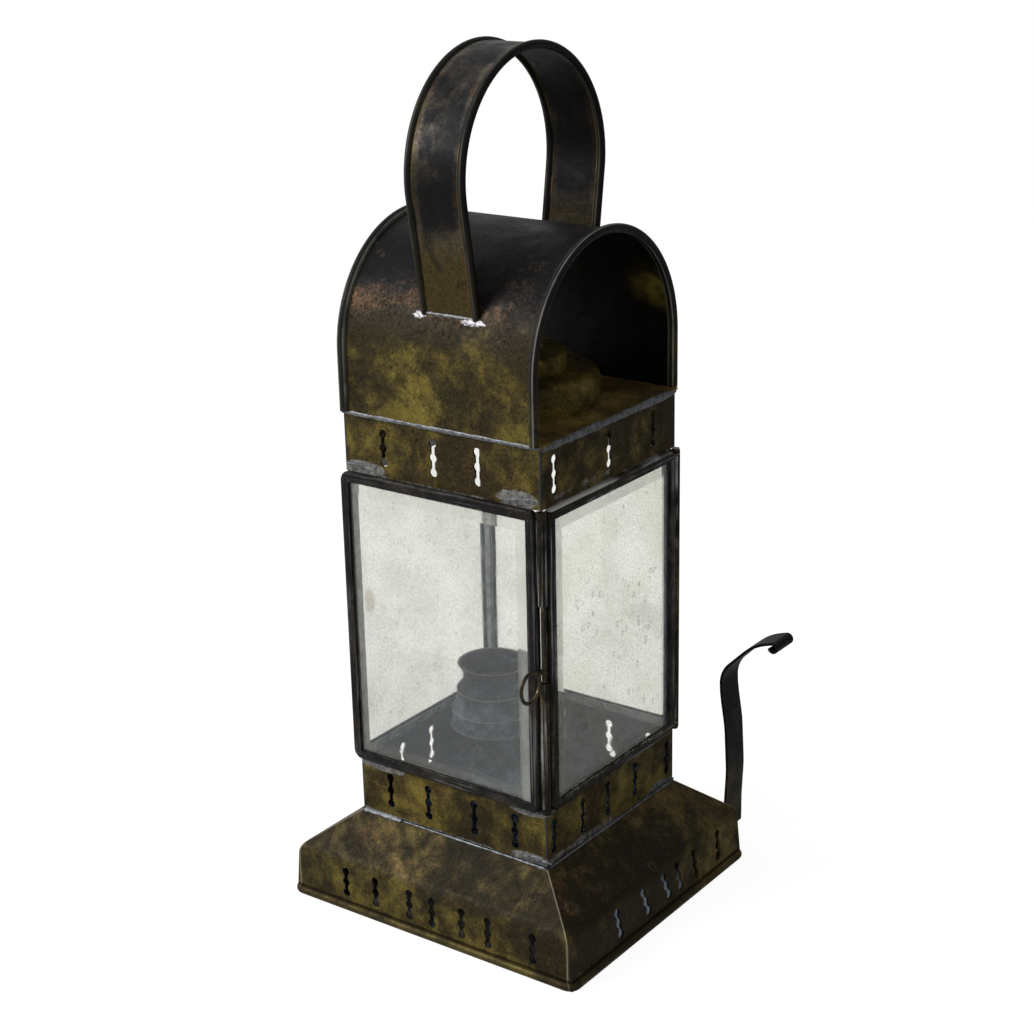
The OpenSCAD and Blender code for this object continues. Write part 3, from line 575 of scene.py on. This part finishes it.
def glass_finish(name, tint, cloud):
    """Old clear glass, tinted a little, with cloudy patches and a slightly wavy face."""
    f = Finish(name, metallic=0.0, specular=0.08, IOR=1.5, **{"Transmission Weight": 1.0})
    patches = f.rise(f.noise(f.where, 38.0, 5.0, 0.6, 0.4), 0.35, 0.7)
    grit = f.rise(f.noise(f.where, 900.0, 3.0, 0.7), 0.3, 0.62, 0.9, 1.0)
    base = f.shade(f.blend(patches, tint, cloud), grit)
    rough = f.rise(f.noise(f.where, 160.0, 4.0), 0.4, 0.7, 0.02, 0.07)
    return f.wear(base, rough, f.noise(f.where, 24.0, 1.0))


def dust_finish(name, tone, haze, spots, shift, stain=None):
    """A film of dust: thin all over, thicker in clouds, grainy, with small dried drops that left a
    brown ring. Spots is the share of the drops. Stain is the (x, z) of a brown patch on the front."""
    f = Finish(name, metallic=0.0, specular=0.0)
    here = f.stretch(f.where, shift=(shift, 0.0, 0.0))
    cloud = f.rise(f.noise(here, 42.0, 8.0, 0.72, 0.3), 0.34, 0.7)
    grit = f.rise(f.noise(here, 950.0, 3.0, 0.7), 0.34, 0.68)
    drop = f.cells(f.stretch(here, (1.0, 1.0, 0.8)), 230.0)
    ring = f.times(f.rise(drop, 0.1, 0.2), f.rise(drop, 0.34, 0.24))
    ring = f.times(ring, f.rise(f.noise(here, 75.0, 4.0, 0.6), 0.46, 0.62))
    dark = f.most(f.times(f.rise(grit, 0.5, 1.0), 0.35), f.times(ring, 0.8))
    dark = f.times(dark, spots)
    base = f.blend(dark, tone, colour(104, 100, 78))
    film = f.times(f.sum(f.times(cloud, 0.8), 0.7), f.rise(grit, 0.0, 1.0, 0.45, 1.6))
    film = f.times(film, haze)
    if stain is not None:
        near = f.off_oval(*stain, 3.2 * mm, 7.0 * mm)
        near = f.sum(near, f.times(f.noise(here, 170.0, 4.0), 1.6))
        near = f.times(f.rise(near, 0.9, 2.0, 1.0, 0.0), f.rise(f.y, 0.0, -1 * mm))
        base = f.blend(near, base, colour(150, 120, 84))
        film = f.sum(film, f.times(near, 0.3))
    f.feed(f.shader.inputs["Alpha"], f.sum(film, f.times(dark, 0.38)))
    return f.wear(base, f.rise(cloud, 0.0, 1.0, 0.7, 0.95))


def bevel_finish(name, tone, along, low_end, high_end, foot, head, shadow=None):
    """The ground bevel round a pane: a milky band of painted reflection with its own strength on each
    side, from low_end to high_end along x or y, and foot and head below and above. Shadow is the tone of
    painted shade at the high end."""
    f = Finish(name, metallic=0.0, specular=0.0)
    across = f.x if along == "x" else f.y
    # Painted reflection: the band's strength differs on each side, and shadow is painted shade.
    upright = f.rise(f.size(across), 37 * mm, 41 * mm)
    ends = f.rise(across, -5 * mm, 5 * mm, low_end, high_end)
    levels = f.rise(f.z, 130 * mm, 136 * mm, foot, head)
    share = f.sum(f.times(upright, ends), f.times(f.less(1.0, upright), levels))
    streaks = f.rise(f.noise(f.where, 60.0, 6.0, 0.7), 0.3, 0.7, 0.8, 1.2)
    f.feed(f.shader.inputs["Alpha"], f.times(share, streaks))
    if shadow is None:
        tone = f.blend(streaks, tone, colour(206, 208, 200))
    else:
        tone = f.blend(f.rise(across, 38 * mm, 40 * mm), tone, shadow)
    return f.wear(tone, f.rise(streaks, 0.8, 1.2, 0.55, 0.65))


LOWER_SPOTS = [(-38, 64.4, 14, 2.4), (41, 43.4, 11, 2.6), (40, 64.8, 10, 1.8)]
UPPER_SPOTS = [(39, 203.4, 12, 3.8), (-41, 202.6, 13, 3.4)]
FINISHES = {
    "foot_shell": foot_finish(),
    "lower_collar": collar_finish("lower_collar_brass", LOWER_HALF, Z_COLLAR, Z_CAGE,
                                  inner=colour(22, 30, 42), darker=0.0, spots=LOWER_SPOTS),
    "upper_collar": collar_finish("upper_collar_brass", UPPER_HALF, Z_TOP, Z_DECK,
                                  inner=colour(40, 36, 24), darker=0.04, spots=UPPER_SPOTS),
    "roof_shell": roof_finish(),
    "handle_strap": handle_finish(),
    "floor_plate": floor_finish(),
    "deck_plate": plain_finish("deck_brass", colour(156, 132, 74), colour(84, 68, 40),
                               rough=0.26, metallic=0.4),
    "chimney_crown": plain_finish("crown_brass", colour(116, 100, 48), colour(50, 43, 22),
                                  rough=0.3, metallic=0.4),
    "candle_cup": cup_finish(),
    "rear_strap": strap_finish(),
    "frame_channel": channel_finish("frame_channel", colour(19, 19, 18), colour(56, 51, 47), share=0.22),
    "door_channel": channel_finish("door_channel", colour(20, 19, 14), colour(66, 60, 42),
                                   share=0.85, top_highlight=True),
    "tube_channel": channel_finish("tube_channel", colour(24, 22, 16), colour(86, 75, 50), share=0.95),
    "bolt": wire_finish(),
    "edge_wire": plain_finish("edge_wire", colour(96, 80, 44), colour(44, 36, 22), rough=0.3),
    "glass": glass_finish("pane_glass", colour(247, 247, 243), colour(234, 235, 229)),
    "door_pane": glass_finish("door_pane_glass", colour(252, 252, 247), colour(243, 244, 234)),
    "solder": solder_finish("solder", colour(122, 124, 126), colour(80, 82, 84)),
    "new_solder": solder_finish("new_solder", colour(196, 194, 196), colour(112, 110, 112)),
    "dimple": plain_finish("dimple_brass", colour(96, 90, 62), colour(52, 48, 32),
                           rough=0.3, metallic=0.35),
}
# Nodes whose finish goes by another name.
DRESSED = {
    "foot_wire": "edge_wire", "roof_wires": "edge_wire", "handle_wires": "edge_wire",
    "candle_stem": "candle_cup", "front_frame": "frame_channel", "left_frame": "frame_channel",
    "back_frame": "frame_channel", "door_frame": "door_channel", "upper_knuckle": "tube_channel",
    "lower_knuckle": "tube_channel", "door_knuckle": "tube_channel", "latch_tube": "tube_channel",
    "keeper_tube": "tube_channel", "hinge_pin": "bolt", "latch_bolt": "bolt", "pull_ring": "bolt",
    "front_glass": "glass", "left_glass": "glass", "back_glass": "glass", "door_glass": "door_pane",
}
for node_name, node_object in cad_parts.items():
    node_object.data.materials.clear()
    node_object.data.materials.append(FINISHES[DRESSED.get(node_name, node_name)])


# ---- meshes from arrays -----------------------------------------------------


def ripple(along, seed, waves=5, first=1.0):
    """A smooth wandering line between about -1 and 1: sines of rising pitch with fixed phases."""
    pick = np.random.default_rng(seed)
    pitch = first * np.arange(1, waves + 1)[:, None]
    phase = pick.uniform(0, 2 * np.pi, (waves, 1))
    weight = pick.uniform(0.4, 1.0, (waves, 1)) / np.arange(1, waves + 1)[:, None] ** 0.6
    flat = np.ravel(along)[None, :]
    line = (weight * np.sin(2 * np.pi * pitch * flat + phase)).sum(0) / weight.sum()
    return line.reshape(np.shape(along))


def make_piece(name, points, faces, body, finish, smooth=True):
    """A mesh object from point and face arrays, riding on a CAD body."""
    mesh = bpy.data.meshes.new(name)
    mesh.from_pydata(points.tolist(), [], faces)
    mesh.polygons.foreach_set("use_smooth", np.full(len(mesh.polygons), smooth))
    mesh.materials.append(finish)
    mesh.update()
    piece = bpy.data.objects.new(name, mesh)
    bpy.context.scene.collection.objects.link(piece)
    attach(piece, body)
    return piece


def closed_skin(rings):
    """Points and faces of a closed skin over rings[n, m, 3]: quads from ring to ring and a fan on
    the middle of each end ring, turned so that the enclosed volume is positive."""
    n, m = rings.shape[:2]
    points = np.vstack([rings.reshape(-1, 3), rings[0].mean(0), rings[-1].mean(0)])
    i, j = np.arange(n - 1)[:, None] * m, np.arange(m)[None, :]
    k = (j + 1) % m
    quads = np.stack([i + j, i + k, i + m + k, i + m + j], -1).reshape(-1, 4)
    one, last = np.arange(m), (n - 1) * m + np.arange(m)
    start = np.stack([np.full(m, n * m), np.roll(one, -1), one], -1)
    end = np.stack([np.full(m, n * m + 1), last, np.roll(last, -1)], -1)
    volume = 0.0
    for triangle in ([0, 1, 2], [0, 2, 3]):
        a, b, c = (points[quads[:, corner]] for corner in triangle)
        volume += np.einsum("ij,ij->i", a, np.cross(b, c)).sum()
    faces = quads.tolist() + start.tolist() + end.tolist()
    if volume < 0:
        faces = [f[::-1] for f in faces]
    return points, faces


WANDER = 0.35  # how far solder's width and height wander, as a share


def solder_run(name, path, up, half_width, height, seed):
    """A run of solder along a path of points, on a surface whose outward normal is up. Its section is
    a flat oval: half_width beside the path, height above it and a third of that below. Both wander
    along the run, and taper to nothing at its ends."""
    path = np.asarray(path, float)
    up = np.broadcast_to(np.asarray(up, float), path.shape)
    tangent = np.gradient(path, axis=0)
    tangent /= np.linalg.norm(tangent, axis=1)[:, None]
    side = np.cross(tangent, up)
    along = np.linspace(0, 1, len(path))
    taper = np.clip(1 - np.abs(2 * along - 1) ** 14, 0.02, 1) ** 0.5
    wide = half_width * taper * (1 + WANDER * ripple(along, seed, 9, 2.0))
    tall = height * taper * (1 + WANDER * ripple(along, seed + 1, 9, 3.0))
    turn = np.linspace(0, 2 * np.pi, 14, endpoint=False)
    lift = np.where(np.sin(turn) > 0, np.sin(turn), np.sin(turn) / 3)
    rings = (path[:, None] + side[:, None] * (wide[:, None] * np.cos(turn))[..., None]
             + up[:, None] * (tall[:, None] * lift)[..., None])
    points, faces = closed_skin(rings)
    make_piece(name, points, faces, "lantern", FINISHES["solder"])


def solder_patch(name, put, reach_s, reach_t, height, seed, ragged=1.3, finish="solder"):
    """A puddle of solder: rings of an oval, wavier the more ragged it is, domed by the root of one minus
    its radius squared, closed underneath a little below the surface. put(s, t, h) lays it down."""
    around = np.linspace(0, 2 * np.pi, 40, endpoint=False)
    edge = np.clip(1 + ragged * ripple(around / (2 * np.pi), seed, 13), 0.35, 1.6)
    top = np.sin(np.linspace(0.06, 1, 9) * np.pi / 2)
    share = np.concatenate([top, top[::-1][1:]])
    lift = np.concatenate([np.sqrt(np.clip(1 - top ** 2, 0, 1)), -0.25 * np.ones(len(top) - 1)])
    s = reach_s * share[:, None] * edge * np.cos(around)
    t = reach_t * share[:, None] * edge * np.sin(around)
    lumps = 1 + WANDER * ripple(s / reach_s * 0.5 + 0.3 * t / reach_t, seed + 2, 5)
    h = height * lift[:, None] * np.where(lift[:, None] > 0, lumps, 1.0)
    points, faces = closed_skin(put(s, t, h))
    make_piece(name, points, faces, "lantern", FINISHES[finish])


# These four take their middle in mm. Their put(s, t, h) takes metres: along the face and out of it.


def on_front(x0, z0, face):
    """Lays a patch on an upright face towards -Y."""
    return lambda s, t, h: np.stack([x0 * mm + s, -face - h, z0 * mm + t], -1)


def on_right(y0, z0, face):
    """Lays a patch on an upright face towards +X."""
    return lambda s, t, h: np.stack([face + h, y0 * mm + s, z0 * mm + t], -1)


def on_barrel(x0, angle):
    """Lays a patch on the front of the barrel roof, at an angle in degrees from its top."""
    def put(s, t, h):
        a = math.radians(angle) - t / ROOF_R
        r = ROOF_R + h
        return np.stack([x0 * mm + s, -r * np.sin(a), Z_ARC + r * np.cos(a)], -1)
    return put


def on_slope(y0, down):
    """Lays a patch on the foot's slope towards +X, that far down from the foot's top edge."""
    run, fall = SKIRT_X - LOWER_HALF, FOOT_TOP - FOLD_Z
    length = math.hypot(run, fall)
    ux, uz = run / length, -fall / length
    nx, nz = fall / length, run / length

    def put(s, t, h):
        d = down * mm + t
        return np.stack([LOWER_HALF + ux * d + nx * h, y0 * mm + s, FOOT_TOP + uz * d + nz * h], -1)
    return put


# (radius, height) in mm, from the hollow middle over the ring and back under the sheet.
DIMPLE = [(0.05, -0.5), (0.9, -0.45), (1.5, 0.12), (2.1, 0.35), (2.9, 0.3), (3.7, 0.05), (3.8, -0.2),
          (3.0, -0.7), (0.05, -0.8)]


def dimple(name, put, scale=1.0):
    """A small punched ring: the profile carried round the normal."""
    profile = np.asarray(DIMPLE, float) * scale * mm
    around = np.linspace(0, 2 * np.pi, 36, endpoint=False)
    r, h = profile[:, 0][:, None], profile[:, 1][:, None]
    points, faces = closed_skin(put(r * np.cos(around), r * np.sin(around), h + 0 * around))
    make_piece(name, points, faces, "lantern", FINISHES["dimple"])


# ---- dust on the panes ------------------------------------------------------

FILM_GAP = 0.04 * mm  # between a pane and its dust
CHANNEL_GAP = 0.05 * mm  # between a channel's lip and the dust


def dust_film(name, width, height, turn_deg, centre, body, finish, bevel):
    """A sheet just off the outer face of a pane, over its visible part. Its depth follows the ground
    edge: the glass thins in proportion to the distance from its nearest edge. The faces over that
    edge have the bevel's finish."""
    edge_w, edge_h = width / 2 - PANE_INSET, height / 2 - PANE_INSET
    ground = BEVEL + RAIL - PANE_INSET
    start = RAIL - PANE_INSET + CHANNEL_GAP
    inset = np.array([start, start + BEVEL * 0.33, start + BEVEL * 0.66, ground])

    def stations(half):
        return np.concatenate([-half + inset, np.linspace(-half + ground, half - ground, 9)[1:-1],
                               (half - inset)[::-1]])

    u, v = np.meshgrid(stations(edge_w), stations(edge_h), indexing="ij")
    near = np.minimum(edge_w - np.abs(u), edge_h - np.abs(v))
    deep = GLASS_EDGE_T + (GLASS_T - GLASS_EDGE_T) * np.clip(near / ground, 0, 1)
    out = -(deep - GLASS_T / 2) - FILM_GAP
    a = math.radians(turn_deg)
    points = np.stack([u * math.cos(a) - out * math.sin(a), u * math.sin(a) + out * math.cos(a), v], -1)
    points = points + centre
    n, m = u.shape
    i, j = np.arange(n - 1)[:, None] * m, np.arange(m - 1)[None, :]
    faces = np.stack([i + j, i + m + j, i + m + j + 1, i + j + 1], -1).reshape(-1, 4)
    piece = make_piece(name, points.reshape(-1, 3), faces.tolist(), body, finish, smooth=False)
    piece.data.materials.append(bevel)
    ring = np.maximum(np.abs(np.arange(n - 1) - (n - 2) / 2)[:, None] > (n - 2) / 2 - 3,
                      np.abs(np.arange(m - 1) - (m - 2) / 2)[None, :] > (m - 2) / 2 - 3)
    piece.data.polygons.foreach_set("material_index", ring.astype(np.int32).ravel())


long_w, left_w, door_w = CAGE_HALF + PANEL_HALF, 2 * (CAGE_HALF - FRAME_T), 2 * PANEL_HALF
cage_h, door_h = Z_TOP - Z_CAGE, Z_TOP - Z_CAGE - 0.6 * mm
mid_x, mid_z, out_c = (PANEL_HALF - CAGE_HALF) / 2, (Z_TOP + Z_CAGE) / 2, CAGE_HALF - FRAME_T / 2
thin_dust = dust_finish("thin_dust", colour(150, 162, 176), haze=0.05, spots=0.55, shift=0.0,
                        stain=(-39.8 * mm, 143 * mm))
door_dust = dust_finish("door_dust", colour(190, 196, 184), haze=0.042, spots=1.1, shift=0.9)
front_bevel = bevel_finish("front_bevel", colour(186, 192, 186), "x",
                           low_end=0.1, high_end=0.42, foot=0.1, head=0.32)
door_bevel = bevel_finish("door_bevel", colour(158, 166, 148), "y",
                          low_end=0.5, high_end=0.4, foot=0.14, head=0.36, shadow=colour(96, 102, 108))
far_bevel = bevel_finish("far_bevel", colour(190, 194, 186), "x",
                         low_end=0.08, high_end=0.08, foot=0.08, head=0.08)
dust_film("front_dust", long_w, cage_h, 0, (mid_x, -out_c, mid_z), "lantern", thin_dust, front_bevel)
dust_film("left_dust", left_w, cage_h, -90, (-out_c, 0, mid_z), "lantern", thin_dust, far_bevel)
dust_film("back_dust", long_w, cage_h, 180, (mid_x, out_c, mid_z), "lantern", thin_dust, far_bevel)
dust_film("door_dust", door_w, door_h, 90, (out_c, 0, mid_z), "door", door_dust, door_bevel)


# ---- solder -----------------------------------------------------------------


def straight(start, end, count=90):
    """Points spaced evenly from start to end."""
    return np.linspace(start, end, count)


def barrel_line(x0, x1, angle, side):
    """Points across the barrel at one angle from its top, towards -Y or +Y, and the normals there."""
    a = math.radians(angle)
    y, z = side * ROOF_R * math.sin(a), Z_ARC + ROOF_R * math.cos(a)
    line = straight((x0, y, z), (x1, y, z), 60)
    return line, np.broadcast_to((0.0, side * math.sin(a), math.cos(a)), line.shape)


seam_z = Z_DECK + 0.1 * mm
side_z = seam_z - 0.7 * mm
side_x = ROOF_R - 0.25 * mm
reach = 50.5 * mm
# Each seam: name, start, end, outward, half width and height in mm, seed.
DECK_SEAMS = [
    ("deck_seam_front", (-reach, -ROOF_R, seam_z), (reach, -ROOF_R, seam_z), (0, -1, 0), 0.95, 0.45, 3),
    ("deck_seam_back", (reach, ROOF_R, seam_z), (-reach, ROOF_R, seam_z), (0, 1, 0), 0.95, 0.45, 5),
    ("deck_seam_right", (side_x, -reach, side_z), (side_x, reach, side_z), (1, 0, 0), 1.7, 0.55, 7),
    ("deck_seam_left", (-side_x, reach, side_z), (-side_x, -reach, side_z), (-1, 0, 0), 1.5, 0.5, 9),
]
for name, start, end, outward, wide, tall, seed in DECK_SEAMS:
    solder_run(name, straight(start, end), outward, wide * mm, tall * mm, seed)

handle_low, handle_high = -10.2 * mm, 20.4 * mm
foot_line, foot_up = barrel_line(handle_low, handle_high, 65.9, -1)
solder_run("handle_solder_front", foot_line, foot_up, 0.7 * mm, 0.4 * mm, 11)
foot_line, foot_up = barrel_line(handle_high, handle_low, 48.6, 1)
solder_run("handle_solder_back", foot_line, foot_up, 1.1 * mm, 0.8 * mm, 13)

# Each patch: name, place, reach along and up in mm, height in mm, seed, raggedness, finish.
PATCHES = [
    ("handle_blob_left", on_barrel(-9.5, 67.3), 3.4, 1.5, 0.6, 15, 0.6, "new_solder"),
    ("handle_blob_right", on_barrel(17.6, 67.6), 5.6, 1.6, 0.6, 17, 0.6, "new_solder"),
    ("cage_patch_right", on_front(40, 203.2, UPPER_HALF), 6.0, 1.7, 0.22, 19, 3.0, "solder"),
    ("cage_patch_left", on_front(-41.5, 203.4, UPPER_HALF), 5.6, 1.3, 0.22, 21, 3.0, "solder"),
    ("collar_patch_left", on_front(-40.5, 64.6, LOWER_HALF), 6.4, 0.9, 0.22, 23, 3.0, "solder"),
    ("collar_patch_right", on_front(42.5, 43.2, LOWER_HALF), 6.4, 1.3, 0.35, 25, 1.3, "solder"),
    ("collar_patch_corner", on_front(42, 65.2, LOWER_HALF), 6.0, 1.0, 0.4, 27, 3.0, "solder"),
    ("collar_patch_side", on_right(38, 43.0, LOWER_HALF), 8.0, 1.4, 0.5, 29, 1.3, "solder"),
]
for name, put, reach_s, reach_t, tall, seed, ragged, finish in PATCHES:
    solder_patch(name, put, reach_s * mm, reach_t * mm, tall * mm, seed, ragged, finish)

lip, lip_z, half_reach = LOWER_HALF + 0.5 * mm, FOOT_TOP + 0.3 * mm, 50 * mm
full_to = -28 * mm  # the front seam is full up to here, and thin from here on
slant = 0.7071  # their normals lie halfway between outward and up
# The same for the foot, all at one height, and with the number of points last.
FOOT_SEAMS = [
    ("foot_seam_front", (-half_reach, -lip), (full_to, -lip), (0, -1), 1.3, 0.5, 31, 50),
    ("foot_seam_rest", (full_to, -lip), (half_reach, -lip), (0, -1), 0.55, 0.3, 33, 90),
    ("foot_seam_right", (lip, -half_reach), (lip, half_reach), (1, 0), 0.6, 0.35, 35, 90),
    ("foot_seam_left", (-lip, half_reach), (-lip, -half_reach), (-1, 0), 0.9, 0.4, 37, 90),
    ("foot_seam_back", (half_reach, lip), (-half_reach, lip), (0, 1), 0.8, 0.4, 39, 90),
]
for name, start, end, (out_x, out_y), wide, tall, seed, count in FOOT_SEAMS:
    line = straight((*start, lip_z), (*end, lip_z), count)
    solder_run(name, line, (out_x * slant, out_y * slant, slant), wide * mm, tall * mm, seed)

# ---- dimples punched in the foot --------------------------------------------

dimple("foot_dimple_front", on_slope(-54.5, 19.5))
dimple("foot_dimple_side", on_slope(-0.5, 26.0), 0.75)

# ---- studio -----------------------------------------------------------------

WHITE = (1.0, 1.0, 1.0, 1.0)
PAPER = (0.25, 0.25, 0.25, 1.0)
COOL_LIGHT = (0.56, 0.68, 0.86, 1.0)
FLOOR_RADIUS = 6.0
FLOOR_Z = -0.05 * mm


def studio_floor():
    """A wide round sheet on the ground: rings whose radius grows as the square of their number. It is
    white to the camera and through glass, and keeps a soft shadow. In gloss it fades from the left
    front to the right back. Under the foot it is dark, but for a cool light inside the right vents."""
    radius = np.linspace(0.0, 1.0, 24)[1:, None] ** 2 * FLOOR_RADIUS
    around = np.linspace(0, 2 * np.pi, 96, endpoint=False)
    height = 0 * radius * around + FLOOR_Z
    points = np.stack([radius * np.cos(around), radius * np.sin(around), height], -1)
    n, m = points.shape[:2]
    flat = np.vstack([points.reshape(-1, 3), [[0, 0, FLOOR_Z]]])
    i, j = np.arange(n - 1)[:, None] * m, np.arange(m)[None, :]
    k = (j + 1) % m
    faces = np.stack([i + j, i + m + j, i + m + k, i + k], -1).reshape(-1, 4).tolist()
    faces += np.stack([np.full(m, n * m), np.arange(m), (np.arange(m) + 1) % m], -1).tolist()
    mesh = bpy.data.meshes.new("studio_floor")
    mesh.from_pydata(flat.tolist(), [], faces)
    floor = bpy.data.objects.new("studio_floor", mesh)
    bpy.context.scene.collection.objects.link(floor)

    f = Finish("studio_paper", metallic=0.0, specular=0.0, Roughness=1.0, **{"Base Color": PAPER})
    ray = f.put("ShaderNodeLightPath").outputs
    seen = f.most(ray["Is Camera Ray"], ray["Is Transmission Ray"])
    across = f.sum(f.times(f.x, 0.6), f.times(f.y, 0.8))
    seen = f.most(seen, f.times(ray["Is Glossy Ray"], f.rise(across, -0.1, 0.15, 0.6, 0.2)))
    covered = f.times(f.rise(f.size(f.x), SKIRT_X, SKIRT_X - 2 * mm),
                      f.rise(f.size(f.y), SKIRT_Y, SKIRT_Y - 2 * mm))
    lit = f.times(f.rise(f.x, 42 * mm, 62 * mm, 0.0, 0.13), f.rise(f.y, 46 * mm, 20 * mm))
    lit = f.times(lit, f.rise(f.y, -64 * mm, -36 * mm))
    f.feed(f.shader.inputs["Emission Color"], f.blend(covered, WHITE, COOL_LIGHT))
    level = f.sum(f.times(f.less(1.0, covered), 0.9), f.times(covered, lit))
    f.feed(f.shader.inputs["Emission Strength"], f.times(seen, level))
    mesh.materials.append(f.material)


def studio_sky():
    """White where it is seen, directly or through glass. Elsewhere it is a light, stronger for gloss,
    that fades from the upper left in front to the lower right behind."""
    world = bpy.data.worlds.new("studio_sky")
    bpy.context.scene.world = world
    world.use_nodes = True
    b = Board(world.node_tree)
    b.tree.nodes.clear()
    ray = b.put("ShaderNodeLightPath").outputs
    outward = b.put("ShaderNodeTexCoord").outputs["Generated"]
    toward = b.put("ShaderNodeSeparateXYZ", {0: outward}).outputs
    slope = b.sum(b.sum(b.times(toward[0], 0.8), b.times(toward[1], 0.5)), b.times(toward[2], -0.5))
    light = b.rise(slope, -0.8, 0.7, 0.56, 0.14)
    seen = b.most(ray["Is Camera Ray"], ray["Is Transmission Ray"])
    level = b.most(seen, b.most(b.times(ray["Is Glossy Ray"], b.times(light, 1.4)), light))
    glow = b.put("ShaderNodeBackground", {"Color": WHITE, "Strength": level})
    b.feed(b.put("ShaderNodeOutputWorld").inputs[0], glow.outputs[0])


def studio_lamp(name, place, aim, size, power):
    """A square soft box at a place, turned to face a point."""
    lamp = bpy.data.lights.new(name, "AREA")
    lamp.size = size
    lamp.energy = power
    holder = bpy.data.objects.new(name, lamp)
    bpy.context.scene.collection.objects.link(holder)
    holder.location = place
    holder.rotation_mode = "QUATERNION"
    holder.rotation_quaternion = (Vector(aim) - Vector(place)).to_track_quat("-Z", "Y")


def studio_camera():
    """Looks down at 19 degrees on the corner between the front pane and the door, tilted a little."""
    place = Vector((0.4901, -0.6685, 0.4648))
    aim = Vector((0.00113, 0.00075, 0.1735))
    tilt = math.radians(-1.26)
    ahead = (aim - place).normalized()
    right = ahead.cross(Vector((0, 0, 1))).normalized()
    up = right.cross(ahead)
    across = right * math.cos(tilt) + up * math.sin(tilt)
    upward = up * math.cos(tilt) - right * math.sin(tilt)
    view = bpy.data.cameras.new("studio_camera")
    view.sensor_width = 36.0
    view.lens = 70.86
    view.clip_start = 0.02
    view.clip_end = 50.0
    holder = bpy.data.objects.new("studio_camera", view)
    bpy.context.scene.collection.objects.link(holder)
    turn = Matrix((across, upward, -ahead)).transposed().to_4x4()
    holder.matrix_world = Matrix.Translation(place) @ turn
    bpy.context.scene.camera = holder


studio_floor()
studio_sky()
studio_lamp("key_lamp", place=(-0.75, -1.05, 0.95), aim=(0.0, 0.0, 0.2), size=0.7, power=15.0)
studio_lamp("side_lamp", place=(1.3, -0.35, 0.7), aim=(0.0, 0.0, 0.18), size=0.9, power=1.4)
studio_camera()
bpy.context.scene.view_settings.view_transform = "Standard"
